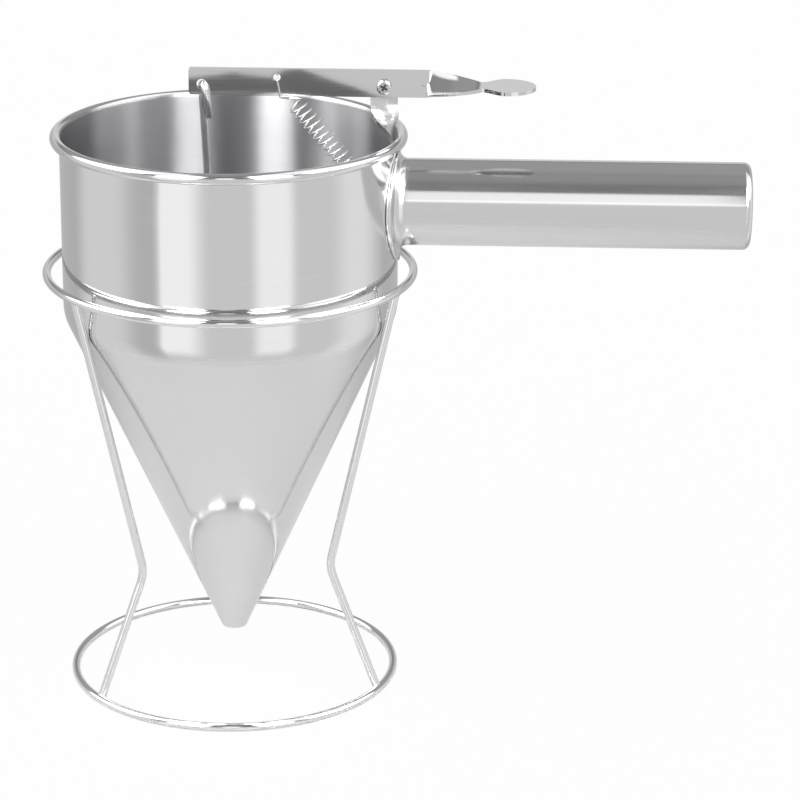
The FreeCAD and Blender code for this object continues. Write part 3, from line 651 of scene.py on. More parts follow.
class DISPENSER_OT_stage(bpy.types.Operator):
    """Set up the camera, the pale floor and the soft white studio"""

    bl_idname = "dispenser.stage"
    bl_label = "Stage"

    def execute(self, context):
        settings = context.scene.dispenser_stage
        place_camera(context.scene, settings)
        lay_floor(settings)
        hang_card()
        light_studio(context.scene, settings)
        context.scene.view_settings.view_transform = "Standard"
        return {"FINISHED"}


# Width of the camera's sensor in millimetres
SENSOR_WIDTH = 36.0


def place_camera(scene, settings):
    """Camera at the photograph's viewing angle."""
    yaw, pitch = settings.camera_yaw, settings.camera_pitch
    ahead = Vector((math.sin(yaw) * math.cos(pitch), math.cos(yaw) * math.cos(pitch), -math.sin(pitch)))
    right = ahead.cross(AXIS_Z).normalized()
    up = right.cross(ahead)
    cosine, sine = math.cos(settings.camera_roll), math.sin(settings.camera_roll)
    rolled_right = right * cosine + up * sine
    rolled_up = up * cosine - right * sine
    data = bpy.data.cameras.new("Studio camera")
    data.lens = settings.lens
    data.sensor_width = SENSOR_WIDTH
    camera = bpy.data.objects.new("Studio camera", data)
    scene.collection.objects.link(camera)
    turn = Matrix((rolled_right, rolled_up, -ahead)).transposed()
    place = Vector((settings.camera_x, settings.camera_y, settings.camera_z))
    camera.matrix_world = Matrix.Translation(place) @ turn.to_4x4()
    scene.camera = camera


# Share of plain white in the floor that the camera sees, which leaves a faint shadow
FLOOR_WHITE_SHARE = 0.94
# Where the floor starts and ends to fade out of the steel's reflections, as shares of the near floor
FLOOR_FADE = (0.55, 1.5)


def lay_floor(settings):
    """Pale matt floor, white to the camera but for the object's shadow."""
    clear_selection()
    bpy.ops.mesh.primitive_circle_add(vertices=96, radius=settings.floor_radius, fill_type="NGON")
    floor = named("studio_floor")
    material = bpy.data.materials.new("Matt pale floor")
    tree = bare_tree(material)
    rays = node(tree, "ShaderNodeLightPath")
    matt = node(tree, "ShaderNodeBsdfDiffuse", None, {"Color": linear(settings.floor_colour)})
    white = node(tree, "ShaderNodeEmission", None, {"Color": (1, 1, 1, 1), "Strength": 1.0})
    share = node(
        tree, "ShaderNodeMath", {"operation": "MULTIPLY"},
        {0: rays.outputs["Is Camera Ray"], 1: FLOOR_WHITE_SHARE},
    )
    seen = node(
        tree, "ShaderNodeMixShader", None,
        {0: share.outputs[0], 1: matt.outputs[0], 2: white.outputs[0]},
    )
    place = node(tree, "ShaderNodeTexCoord").outputs["Object"]
    reach = node(tree, "ShaderNodeVectorMath", {"operation": "LENGTH"}, {0: place})
    far = node(
        tree, "ShaderNodeMapRange", {"interpolation_type": "SMOOTHSTEP"},
        {"Value": reach.outputs["Value"], "From Min": settings.near_floor * FLOOR_FADE[0],
         "From Max": settings.near_floor * FLOOR_FADE[1]},
    )
    open_far = node(
        tree, "ShaderNodeMath", {"operation": "MULTIPLY"},
        {0: rays.outputs["Is Glossy Ray"], 1: far.outputs[0]},
    )
    clear = node(tree, "ShaderNodeBsdfTransparent")
    mixed = node(
        tree, "ShaderNodeMixShader", None,
        {0: open_far.outputs[0], 1: seen.outputs[0], 2: clear.outputs[0]},
    )
    node(tree, "ShaderNodeOutputMaterial", None, {"Surface": mixed.outputs[0]})
    floor.data.materials.append(material)


# The studio as the steel sees it. Each panel has its strength and its limits: lowest, highest and the
# softness of both edges. Azimuth runs from the camera's side towards +X and elevation from the horizon,
# in degrees; aside and along are the heading's parts across and along the line from front to back.
SOFT_PANELS = {
    "lower room": (0.73, {"elevation": (-100, 18, 1, 4)}),
    "upper room": (0.22, {"elevation": (18, 100, 4, 1)}),
    "back wall": (0.16, {"elevation": (24, 72, 6, 10), "toward": (-2, -0.1, 0.1, 0.3)}),
    "left strip": (0.40, {"azimuth": (-49, -22, 1.5, 9), "elevation": (-33, 10, 12, 3)}),
    "left fall-off": (-0.17, {"azimuth": (-72, -52, 10, 2), "elevation": (-60, 12, 16, 3)}),
    "right strip": (0.36, {"azimuth": (17, 43, 5, 5), "elevation": (-33, 10, 12, 3)}),
    "left box": (12.0, {"azimuth": (-47, -22, 1.5, 2), "elevation": (14, 58, 3, 6)}),
    "right box": (12.0, {"azimuth": (17, 40, 2, 1.5), "elevation": (14, 58, 3, 6)}),
    "left side box": (2.6, {"azimuth": (-116, -70, 6, 4), "elevation": (14, 58, 3, 6)}),
    "right side box": (1.0, {"azimuth": (70, 104, 5, 8), "elevation": (14, 58, 3, 6)}),
    "left rear": (-0.2, {"azimuth": (-170, -122, 6, 10), "elevation": (-60, 12, 16, 3)}),
    "right rear": (-0.2, {"azimuth": (122, 170, 10, 6), "elevation": (-60, 12, 16, 3)}),
    "front band": (0.95, {"azimuth": (-9, 3, 1.5, 1.5), "elevation": (15, 42, 2, 3)}),
    "right side": (0.18, {"azimuth": (80, 110, 10, 10), "elevation": (-60, 12, 16, 3)}),
    "left side": (0.06, {"azimuth": (-116, -80, 10, 10), "elevation": (-60, 12, 16, 3)}),
    "ceiling": (0.11, {"height": (0.94, 2, 0.06, 1)}),
    "overhead boxes": (0.95, {
        "aside": (0.2, 2, 0.04, 1), "along": (-1, 0.46, 1, 0.06), "height": (0.6, 2, 0.05, 1),
    }),
    "side boxes": (2.6, {
        "aside": (0.2, 2, 0.04, 1), "along": (-1, 0.46, 1, 0.04), "height": (0.34, 0.6, 0.03, 0.05),
    }),
}


def light_studio(scene, settings):
    """White studio with soft panels: an even light for matt surfaces, panels for the steel."""
    world = bpy.data.worlds.new("Soft white studio")
    scene.world = world
    tree = bare_tree(world)
    heading = node(tree, "ShaderNodeTexCoord").outputs["Generated"]
    yaw = math.atan2(settings.camera_x, -settings.camera_y)
    turned_heading = node(
        tree, "ShaderNodeVectorRotate", {"rotation_type": "Z_AXIS"},
        {"Vector": heading, "Angle": -yaw},
    )
    plain_parts = node(tree, "ShaderNodeSeparateXYZ", None, {0: heading})
    parts = node(tree, "ShaderNodeSeparateXYZ", None, {0: turned_heading.outputs[0]})
    toward = node(tree, "ShaderNodeMath", {"operation": "MULTIPLY"}, {0: parts.outputs[1], 1: -1.0})
    azimuth = node(
        tree, "ShaderNodeMath", {"operation": "ARCTAN2"},
        {0: parts.outputs[0], 1: toward.outputs[0]},
    )
    azimuth = node(tree, "ShaderNodeMath", {"operation": "DEGREES"}, {0: azimuth.outputs[0]})
    elevation = node(tree, "ShaderNodeMath", {"operation": "ARCSINE"}, {0: parts.outputs[2]})
    elevation = node(tree, "ShaderNodeMath", {"operation": "DEGREES"}, {0: elevation.outputs[0]})
    aside = node(tree, "ShaderNodeMath", {"operation": "ABSOLUTE"}, {0: plain_parts.outputs[0]})
    along = node(tree, "ShaderNodeMath", {"operation": "ABSOLUTE"}, {0: plain_parts.outputs[1]})
    places = {
        "azimuth": azimuth.outputs[0], "elevation": elevation.outputs[0], "toward": toward.outputs[0],
        "aside": aside.outputs[0], "along": along.outputs[0], "height": parts.outputs[2],
    }
    total = 0.0
    for strength, limits in SOFT_PANELS.values():
        light = strength
        for place, (low, high, low_soft, high_soft) in limits.items():
            rise = node(
                tree, "ShaderNodeMapRange", {"interpolation_type": "SMOOTHSTEP"},
                {"Value": places[place], "From Min": low - low_soft, "From Max": low + low_soft,
                 "To Min": 0.0, "To Max": 1.0},
            )
            fall = node(
                tree, "ShaderNodeMapRange", {"interpolation_type": "SMOOTHSTEP"},
                {"Value": places[place], "From Min": high - high_soft, "From Max": high + high_soft,
                 "To Min": 1.0, "To Max": 0.0},
            )
            inside = node(
                tree, "ShaderNodeMath", {"operation": "MULTIPLY"},
                {0: rise.outputs[0], 1: fall.outputs[0]},
            )
            light = node(
                tree, "ShaderNodeMath", {"operation": "MULTIPLY"},
                {0: light, 1: inside.outputs[0]},
            ).outputs[0]
        total = node(tree, "ShaderNodeMath", {"operation": "ADD"}, {0: total, 1: light}).outputs[0]
    rays = node(tree, "ShaderNodeLightPath")
    glossy = node(tree, "ShaderNodeBackground", None, {"Color": (1, 1, 1, 1), "Strength": total})
    plain = node(tree, "ShaderNodeBackground", None, {"Color": (1, 1, 1, 1), "Strength": 1.0})
    mixed = node(
        tree, "ShaderNodeMixShader", None,
        {0: rays.outputs["Is Glossy Ray"], 1: plain.outputs[0], 2: glossy.outputs[0]},
    )
    node(tree, "ShaderNodeOutputWorld", None, {"Surface": mixed.outputs[0]})


# Corners (x, z) of the grey card in front of the lever, which gives its face the dark half
CARD_Y = -300 * MM
CARD_CORNERS = (
    (-60, 170), (80, 170), (52, 180), (11, 193.8), (3, 193.5),
    (-4, 189.5), (-22, 191.5), (-40, 189), (-60, 188),
)
CARD_LEVEL = 0.17
# Steel nearer to the card than this doesn't see it
CARD_REACH = 0.293


def hang_card():
    """Small grey card in front of the lever, seen only in the steel that faces it from afar."""
    data = bpy.data.meshes.new("studio_card")
    corners = [(x * MM, CARD_Y, z * MM) for x, z in CARD_CORNERS]
    data.from_pydata(corners, [], [tuple(range(len(corners)))])
    card = bpy.data.objects.new("studio_card", data)
    bpy.context.scene.collection.objects.link(card)
    material = bpy.data.materials.new("Matt grey card")
    tree = bare_tree(material)
    rays = node(tree, "ShaderNodeLightPath")
    near = node(
        tree, "ShaderNodeMath", {"operation": "LESS_THAN"},
        {0: rays.outputs["Ray Length"], 1: CARD_REACH},
    )
    grey = node(tree, "ShaderNodeEmission", None, {"Color": (1, 1, 1, 1), "Strength": CARD_LEVEL})
    clear = node(tree, "ShaderNodeBsdfTransparent")
    mixed = node(
        tree, "ShaderNodeMixShader", None,
        {0: near.outputs[0], 1: grey.outputs[0], 2: clear.outputs[0]},
    )
    node(tree, "ShaderNodeOutputMaterial", None, {"Surface": mixed.outputs[0]})
    data.materials.append(material)
    card.visible_camera = False
    card.visible_diffuse = False
    card.visible_transmission = False
    card.visible_volume_scatter = False
    card.visible_shadow = False


class DISPENSER_OT_funnel(bpy.types.Operator):
    """Spin the one-piece funnel with its rolled rim, shoulder, cone and mouth"""

    bl_idname = "dispenser.funnel"
    bl_label = "Funnel"

    def execute(self, context):
        sizes = context.scene.dispenser_funnel
        piece = turned("funnel_shell", funnel_profile(sizes), sizes.segments)
        smooth(piece, SHEET_SMOOTH)
        dressed(piece, spun_stainless(), "funnel", "polished_steel", "funnel_body")
        piece.data.materials.append(satin_inside())
        for face in piece.data.polygons:
            centre = face.center
            inward = face.normal.x * centre.x + face.normal.y * centre.y < 0
            if inward and math.hypot(centre.x, centre.y) < body_radius(sizes) - sizes.wall / 2:
                face.material_index = 1
        return {"FINISHED"}


def body_radius(sizes):
    """Outer radius of the funnel's cylinder."""
    return FUNNEL_HIGH.x - 2 * sizes.curl_radius + sizes.wall


def cone_angle(sizes):
    """Angle of the cone's side from the upright."""
    return math.atan((body_radius(sizes) - sizes.mouth_radius) / (sizes.shoulder_z - FUNNEL_LOW.z))


# Steps along the cone, round the shoulder, up the wall and round the rim's inner and outer curl
CONE_STEPS = 12
SHOULDER_STEPS = 14
WALL_STEPS = 4
INNER_CURL_STEPS = 26
OUTER_CURL_STEPS = 30
# Round of the mouth's lip as a share of the wall
LIP_SHARE = 0.25


def funnel_profile(sizes):
    """Closed section of the funnel's sheet as (radius, z) corners."""
    outer = body_radius(sizes)
    wall = sizes.wall
    lean = cone_angle(sizes)
    lean_degrees = math.degrees(lean)
    span = wall / math.cos(lean)
    centre = (outer - sizes.shoulder_radius, sizes.shoulder_z + sizes.shoulder_radius * math.tan(lean / 2))
    curl = (outer - wall + sizes.curl_radius, FUNNEL_HIGH.z - sizes.curl_radius)
    curl_end = math.degrees(sizes.curl_end)
    mouth = FUNNEL_LOW.z
    lip = LIP_SHARE * wall
    lip_reach = math.tan(lean) * lip
    low = (sizes.mouth_radius + lip_reach, mouth + lip)
    inner_low = (sizes.mouth_radius - span + lip_reach, mouth + lip)
    shoulder = arc(centre, sizes.shoulder_radius, -lean_degrees, 0, SHOULDER_STEPS)
    inner_shoulder = arc(centre, sizes.shoulder_radius - wall, 0, -lean_degrees, SHOULDER_STEPS)
    under = arc(curl, sizes.curl_radius - wall, 180, curl_end, INNER_CURL_STEPS)
    over = arc(curl, sizes.curl_radius, curl_end, 180, OUTER_CURL_STEPS)
    outside = [low] + between(low, shoulder[0], CONE_STEPS) + shoulder
    outside += between(shoulder[-1], under[0], WALL_STEPS)
    inside = between(over[-1], inner_shoulder[0], WALL_STEPS) + inner_shoulder
    inside += between(inner_shoulder[-1], inner_low, CONE_STEPS) + [inner_low]
    edge = [
        (sizes.mouth_radius - span + lip * 0.5, mouth + lip * 0.2),
        (sizes.mouth_radius - span + lip, mouth),
        (sizes.mouth_radius - lip, mouth),
        (sizes.mouth_radius - lip * 0.2, mouth + lip * 0.2),
    ]
    return outside + under + over + inside + edge + [low]


class DISPENSER_OT_handle(bpy.types.Operator):
    """Model the welded saddle, the tube and the pressed end cap"""

    bl_idname = "dispenser.handle"
    bl_label = "Handle"

    def execute(self, context):
        sizes = context.scene.dispenser_handle
        metal = drawn_tube_stainless()
        saddle = turned("saddle_flange", saddle_profile(context.scene), sizes.segments)
        laid_along_x(saddle, HANDLE_Z)
        pressed_to_wall(saddle, body_radius(context.scene.dispenser_funnel))
        outward(saddle)
        smooth(saddle, SHEET_SMOOTH)
        dressed(saddle, pressed_stainless(), "funnel", "polished_steel", "handle_saddle")
        tube = turned("grip_tube", tube_profile(sizes), sizes.segments)
        laid_along_x(tube, HANDLE_Z)
        smooth(tube, SHEET_SMOOTH)
        dressed(tube, metal, "funnel", "polished_steel", "handle_tube")
        cap = turned("end_cap", cap_profile(sizes), sizes.segments)
        laid_along_x(cap, HANDLE_Z)
        close_pole(cap)
        outward(cap)
        smooth(cap, SHEET_SMOOTH)
        dressed(cap, metal, "funnel", "polished_steel", "handle_end_cap")
        return {"FINISHED"}


def saddle_profile(scene):
    """Section of the saddle as (radius, x): back, edge, flange, fillet, neck and bore."""
    sizes = scene.dispenser_handle
    wall_x = body_radius(scene.dispenser_funnel)
    edge = SADDLE_HIGH.y
    neck = HANDLE_RADIUS - sizes.neck_step
    bore = HANDLE_RADIUS - sizes.wall
    face = wall_x + sizes.flange_thickness
    soft = sizes.flange_edge
    end = SADDLE_HIGH.x
    fillet = sizes.flange_fillet
    profile = [(bore, wall_x), ((bore + edge) / 2, wall_x), (edge - soft / 3, wall_x)]
    profile += [(edge, wall_x + soft / 3), (edge, face - soft)]
    profile += arc((edge - soft, face - soft), soft, 0, 90, 4)[1:]
    profile += between((edge, face), (neck + fillet, face), 3)
    profile += arc((neck + fillet, face + fillet), fillet, -90, -180, 12)
    profile += [(neck, end), (bore, end), (bore, wall_x)]
    return profile


# Share of the wall's curve that the flange follows, so that its front and back edges stand off a little
FLANGE_FOLLOWS = 0.95


def pressed_to_wall(piece, radius):
    """Curve the flange to the funnel's round wall, less and less towards the neck's end."""
    neck_length = SADDLE_HIGH.x - radius
    for vertex in piece.data.vertices:
        drop = radius - math.sqrt(radius ** 2 - vertex.co.y ** 2)
        share = 1 - max(0.0, (vertex.co.x - radius) / neck_length)
        vertex.co.x -= drop * share * FLANGE_FOLLOWS


def end_radius(sizes, x):
    """Outer radius near the handle's end, where tube and cap are rounded over together."""
    into = max(0.0, x - (CAP_HIGH.x - sizes.cap_round))
    return HANDLE_RADIUS - sizes.cap_round + math.sqrt(max(sizes.cap_round ** 2 - into ** 2, 0.0))


def tube_profile(sizes):
    """Section of the tube as (radius, x), its far end rounded in towards the cap."""
    start, end = TUBE_LOW.x, TUBE_HIGH.x
    outer, inner = HANDLE_RADIUS, HANDLE_RADIUS - sizes.wall
    round_start = CAP_HIGH.x - sizes.cap_round
    groove = sizes.seam_groove
    runs = [(outer, start + (round_start - start) * share) for share in shares(8, 0)]
    for share in shares(4):
        x = round_start + (end - groove - round_start) * share
        runs.append((end_radius(sizes, x), x))
    ends = [(end_radius(sizes, end) - groove, end), (inner, end), (inner, start)]
    return runs + ends + runs[:1]


# The cap's dish from its edge inwards: shares of the cap's radius and of the dish's depth
DISH_CURVE = ((0.78, 0.0), (0.74, 0.3), (0.70, 0.8), (0.62, 1.0), (0.3, 1.0))
# Radius of the rings that close_pole closes in the middle of the cap
CAP_POLE_RADIUS = 0.2 * MM


def cap_profile(sizes):
    """Section of the cap as (radius, x): plug in the tube, rim, rounded edge and dished face."""
    rim, end = TUBE_HIGH.x, CAP_HIGH.x
    outer = HANDLE_RADIUS
    plug = outer - sizes.wall - PRESS_GAP
    groove = sizes.seam_groove
    first = math.degrees(math.asin((rim + groove - (end - sizes.cap_round)) / sizes.cap_round))
    rounded = arc((outer - sizes.cap_round, end - sizes.cap_round), sizes.cap_round, first, 90, 12)
    dish = [(outer * reach, end - sizes.cap_dish * depth) for reach, depth in DISH_CURVE]
    dish.append((CAP_POLE_RADIUS, end - sizes.cap_dish))
    inside = [
        (CAP_POLE_RADIUS, end - sizes.cap_inside), (plug - sizes.wall, end - sizes.cap_inside),
        (plug - sizes.wall, CAP_LOW.x), (plug, CAP_LOW.x), (plug, rim),
    ]
    return [(plug, rim), (end_radius(sizes, rim) - groove, rim)] + rounded + dish + inside


def close_pole(piece):
    """Merge the tiny rings round a turned face's centre into closed poles."""
    mesh = bmesh.new()
    mesh.from_mesh(piece.data)
    rings = {}
    for vertex in mesh.verts:
        if math.hypot(vertex.co.y, vertex.co.z - HANDLE_Z) < 1.5 * CAP_POLE_RADIUS:
            rings.setdefault(round(vertex.co.x, 6), []).append(vertex)
    for place, ring in rings.items():
        bmesh.ops.pointmerge(mesh, verts=ring, merge_co=(place, 0, HANDLE_Z))
    mesh.to_mesh(piece.data)
    mesh.free()


class DISPENSER_OT_lever(bpy.types.Operator):
    """Model the lever with its quarter twist, thumb tab and three holes"""

    bl_idname = "dispenser.lever"
    bl_label = "Lever"

    def execute(self, context):
        sizes = context.scene.dispenser_lever
        piece = strip("thumb_lever", lever_stations(sizes), AXIS_Z, AXIS_X, sizes.thickness, 16)
        y = lever_y(sizes)
        z = PIVOT_Z + sizes.centre_above_pivot
        depth = DRILL_REACH * sizes.thickness
        pivot_radius = context.scene.dispenser_pivot.shank_radius + PIVOT_GAP
        holes = (
            ("pivot_drill", pivot_radius, (PIVOT_X, y, PIVOT_Z)),
            ("rod_drill", sizes.rod_hole_radius, (sizes.rod_hole_x, y, z - sizes.rod_hole_drop)),
            ("spring_drill", sizes.spring_hole_radius, (sizes.spring_hole_x, y, z + sizes.spring_hole_rise)),
        )
        for name, radius, centre in holes:
            drilled(piece, name, radius, centre, AXIS_Y, depth)
        tumbled(piece, sizes.edge)
        dressed(piece, rolled_strip_stainless(), "lever_arm", "sheet_steel", "lever")
        return {"FINISHED"}


def lever_y(sizes):
    """Middle of the lever's thickness, in front of the bracket's ear."""
    return -(sizes.thickness + sizes.face_gap)


# The quarter twist: the share of the turn that the crease takes, how soon, and how late the rest comes
CREASE_SHARE = 0.48
CREASE_LENGTH = 0.012
TWIST_LATENESS = 1.25
# Half width that is left at the very tip of the tab
TIP_HALF_WIDTH = 0.02 * MM


def twist_turn(share):
    """Turn of the twist at a share of its length."""
    crease = CREASE_SHARE * (1 - math.exp(-share / CREASE_LENGTH))
    return -QUARTER * (crease + (1 - CREASE_SHARE) * share ** TWIST_LATENESS)


def lever_stations(sizes):
    """Stations along the lever as (centre, half width, turn): rounded end, strip, twist and tab."""
    half = sizes.width / 2
    left = LEVER_LOW.x
    tip = LEVER_HIGH.x
    crease = PIVOT_X + sizes.twist_start
    twist_end = crease + sizes.twist_length
    belly = twist_end + sizes.tab_root
    rows = []
    for share in shares(6, 0):
        turn = QUARTER * share
        x = left + sizes.corner * (1 - math.cos(turn))
        rows.append((x, half - sizes.corner * (1 - math.sin(turn)), 0.0))
    for share in shares(32):
        rows.append((left + sizes.corner + (crease - left - sizes.corner) * share, half, 0.0))
    for share in shares(110):
        rows.append((crease + sizes.twist_length * share, half, twist_turn(share)))
    for share in shares(14):
        bulge = sizes.tab_bulge * share * (1 - share) ** 2
        width = half + (sizes.tab_half_width - half) * eased(share) + bulge
        rows.append((twist_end + sizes.tab_root * share, width, -QUARTER))
    for share in shares(24):
        turn = QUARTER * share
        width = max(sizes.tab_half_width * math.cos(turn), TIP_HALF_WIDTH)
        rows.append((belly + (tip - belly) * math.sin(turn), width, -QUARTER))
    y, z = lever_y(sizes), PIVOT_Z + sizes.centre_above_pivot
    stations = []
    for x, width, turn in rows:
        drop = sizes.tab_drop * eased((x - crease) / sizes.twist_length)
        stations.append((Vector((x, y, z - drop)), width, turn))
    return stations


class DISPENSER_OT_bracket(bpy.types.Operator):
    """Model the bracket: ear, quarter twist, foot on the wall and the spring's tab"""

    bl_idname = "dispenser.bracket"
    bl_label = "Bracket"

    def execute(self, context):
        scene = context.scene
        sizes = scene.dispenser_lever
        piece = strip("pivot_bracket", bracket_rows(scene), AXIS_X, AXIS_Z, sizes.thickness, 10)
        depth = DRILL_REACH * sizes.thickness
        pivot_radius = scene.dispenser_pivot.shank_radius + PIVOT_GAP
        drilled(piece, "pivot_drill", pivot_radius, (PIVOT_X, 0, PIVOT_Z), AXIS_Y, depth)
        drilled(piece, "anchor_drill", sizes.anchor_hole_radius, anchor_point(scene), AXIS_Z, depth)
        tumbled(piece, sizes.edge)
        dressed(piece, pressed_stainless(), "funnel", "sheet_steel", "lever_bracket")
        return {"FINISHED"}


def bracket_wall_x(scene):
    """Middle of the bracket's thickness where it lies on the inner wall."""
    sizes = scene.dispenser_lever
    inner = body_radius(scene.dispenser_funnel) - scene.dispenser_funnel.wall
    chord = math.sqrt(inner ** 2 - (sizes.bracket_width / 2) ** 2)
    return chord - sizes.wall_gap - sizes.thickness / 2


def anchor_point(scene):
    """Middle of the top of the hole for the spring's lower hook."""
    sizes = scene.dispenser_lever
    tab_end = bracket_wall_x(scene) - sizes.thickness / 2 - sizes.tab_reach
    return Vector((tab_end + sizes.anchor_hole_inset, 0, BRACKET_LOW.z + sizes.thickness))


def eased(share):
    """Soft start and end for a share from 0 to 1."""
    share = min(max(share, 0.0), 1.0)
    return share * share * (3 - 2 * share)


def bracket_rows(scene):
    """Stations down the bracket as (centre, half width, turn)."""
    sizes = scene.dispenser_lever
    half = sizes.bracket_width / 2
    top = BRACKET_HIGH.z
    twist_top = PIVOT_Z - sizes.bracket_ear
    wall_x = bracket_wall_x(scene)
    rows = []
    for share in shares(10, 0):
        turn = QUARTER * share
        z = top - sizes.bracket_corner * (1 - math.cos(turn))
        rows.append((Vector((PIVOT_X, 0, z)), half - sizes.bracket_corner * (1 - math.sin(turn)), 0.0))
    ear_low = top - sizes.bracket_corner
    for share in shares(8):
        rows.append((Vector((PIVOT_X, 0, ear_low + (twist_top - ear_low) * share)), half, 0.0))
    for share in shares(36):
        drop = sizes.bracket_shift * share
        turn = QUARTER * eased(drop / sizes.bracket_twist)
        lean = (wall_x - PIVOT_X) * eased(share)
        rows.append((Vector((PIVOT_X + lean, 0, twist_top - drop)), half, turn))
    foot_top = twist_top - sizes.bracket_shift
    tab_z = BRACKET_LOW.z + sizes.thickness / 2
    bend_top = tab_z + sizes.tab_bend
    for share in shares(14):
        rows.append((Vector((wall_x, 0, foot_top + (bend_top - foot_top) * share)), half, QUARTER))
    rows[-1] = (rows[-1][0], sizes.tab_width / 2, QUARTER)
    centre = Vector((wall_x - sizes.tab_bend, 0, bend_top))
    for share in shares(8):
        turn = QUARTER * share
        place = centre + Vector((math.cos(turn), 0, -math.sin(turn))) * sizes.tab_bend
        rows.append((place, sizes.tab_width / 2, QUARTER))
    tab_end = wall_x - sizes.thickness / 2 - sizes.tab_reach
    start_x = rows[-1][0].x
    for share in shares(6):
        place = Vector((start_x + (tab_end - start_x) * share, 0, tab_z))
        rows.append((place, sizes.tab_width / 2, QUARTER))
    return rows


class DISPENSER_OT_pivot(bpy.types.Operator):
    """Model the pan head screw with its cross recess and the nut behind it"""

    bl_idname = "dispenser.pivot"
    bl_label = "Pivot"

    def execute(self, context):
        sizes = context.scene.dispenser_pivot
        metal = lathe_turned_stainless()
        screw = turned("pivot_screw_turned", screw_profile(sizes), 96)
        close_ends(screw)
        outward(screw)
        screw.rotation_euler = (QUARTER, 0, 0)
        screw.location = (PIVOT_X, SCREW_LOW.y + sizes.head_height, PIVOT_Z)
        settle(screw)
        cut_recess(screw, sizes)
        smooth(screw, SHEET_SMOOTH)
        dressed(screw, metal, "funnel", "fastener_steel", "pivot_screw")
        # Paints shade into the cross recess with a darker, rougher material
        paint_recess_shade(screw, sizes)
        nut = hexagon_nut(sizes)
        dressed(nut, metal, "funnel", "fastener_steel", "pivot_nut")
        return {"FINISHED"}


# Radius of the ring that bounds the recess, as a share of the head's
CROWN_SHARE = 0.7
# Bottom of the recess against its top, along and across each arm
RECESS_TAPER = (0.6, 0.8)


def screw_profile(sizes):
    """Pan head and shank as (radius, z), the head's underside at zero."""
    head = (SCREW_HIGH.x - SCREW_LOW.x) / 2
    top = sizes.head_height
    corner = arc((head - sizes.head_round, top - sizes.head_round), sizes.head_round, 0, 90, 12)
    crown = [(head * CROWN_SHARE, top), (POLE_RADIUS, top)]
    end = -(SCREW_HIGH.y - SCREW_LOW.y - sizes.head_height)
    shank = sizes.shank_radius
    point = sizes.point_chamfer
    tip = [(POLE_RADIUS, end), (shank - point, end), (shank, end + point), (shank, 0), (head, 0)]
    return tip + corner + crown


def close_ends(piece):
    """Close the two small end rings of a turned piece."""
    select_only(piece)
    bpy.ops.object.mode_set(mode="EDIT")
    bpy.ops.mesh.select_all(action="SELECT")
    bpy.ops.mesh.fill_holes(sides=0)
    bpy.ops.object.mode_set(mode="OBJECT")


def cut_recess(screw, sizes):
    """Cut the cross recess with two arms joined in one cutter, shorter at its bottom."""
    arms = []
    for turn in (sizes.recess_turn, sizes.recess_turn + QUARTER):
        clear_selection()
        bpy.ops.mesh.primitive_cube_add(size=1.0)
        arm = named("recess_arm")
        arm.scale = (sizes.recess_span, 2 * sizes.recess_depth, sizes.recess_width)
        settle(arm)
        for vertex in arm.data.vertices:
            if vertex.co.y > 0:
                vertex.co.x *= RECESS_TAPER[0]
                vertex.co.z *= RECESS_TAPER[1]
        arm.rotation_euler = (0, turn, 0)
        arm.location = (PIVOT_X, SCREW_LOW.y, PIVOT_Z)
        settle(arm)
        arms.append(arm)
    shaped(arms[0], "BOOLEAN", operation="UNION", object=arms[1], solver="EXACT")
    bpy.data.objects.remove(arms[1])
    shaped(screw, "BOOLEAN", operation="DIFFERENCE", object=arms[0], solver="EXACT")
    bpy.data.objects.remove(arms[0])


def paint_recess_shade(screw, sizes):
    """Give the faces inside the cross recess the rougher steel the punch leaves, darkened as painted shade.
    """
    screw.data.materials.append(recess_steel_painted_shade())
    margin = 0.05 * MM
    crown = SCREW_LOW.y + margin
    underside = SCREW_LOW.y + sizes.head_height - margin
    for face in screw.data.polygons:
        aside = math.hypot(face.center.x - PIVOT_X, face.center.z - PIVOT_Z)
        if crown < face.center.y < underside and aside < sizes.recess_span / 2 + margin:
            face.material_index = 1


def hexagon_nut(sizes):
    """Nut with six flats and chamfered corners."""
    corner = sizes.nut_flats / math.sqrt(3)
    height = NUT_HIGH.y - NUT_LOW.y
    clear_selection()
    bpy.ops.mesh.primitive_cylinder_add(vertices=6, radius=corner, depth=height)
    nut = named("lock_nut")
    chamfer = sizes.nut_chamfer
    inner = sizes.nut_flats / 2
    profile = [
        (POLE_RADIUS, -height), (inner, -height), (inner, -height / 2),
        (corner, -height / 2 + chamfer), (corner, height / 2 - chamfer),
        (inner, height / 2), (inner, height), (POLE_RADIUS, height),
    ]
    blank = turned("nut_blank", profile, 64)
    close_ends(blank)
    outward(blank)
    shaped(nut, "BOOLEAN", operation="INTERSECT", object=blank, solver="EXACT")
    bpy.data.objects.remove(blank)
    drilled(nut, "thread_drill", sizes.shank_radius + THREAD_GAP, (0, 0, 0), AXIS_Z, 3 * height)
    nut.rotation_euler = (QUARTER, 0, 0)
    nut.location = (PIVOT_X, (NUT_LOW.y + NUT_HIGH.y) / 2, PIVOT_Z)
    settle(nut)
    outward(nut)
    tumbled(nut, sizes.nut_edge, 2, 25.0, TURNED_SMOOTH)
    return nut


class DISPENSER_OT_spring(bpy.types.Operator):
    """Wind the return spring between the lever and the bracket's tab"""

    bl_idname = "dispenser.spring"
    bl_label = "Spring"

    def execute(self, context):
        scene = context.scene
        sizes = scene.dispenser_spring
        route, start, anchor = spring_route(scene)
        piece = bar("coil_spring", route, sizes.wire_radius, 3, "NURBS")
        smooth(piece, WIRE_SMOOTH)
        dressed(piece, drawn_rod_stainless(), None, "wire_steel", "return_spring")
        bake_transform(piece)
        return {"FINISHED"}


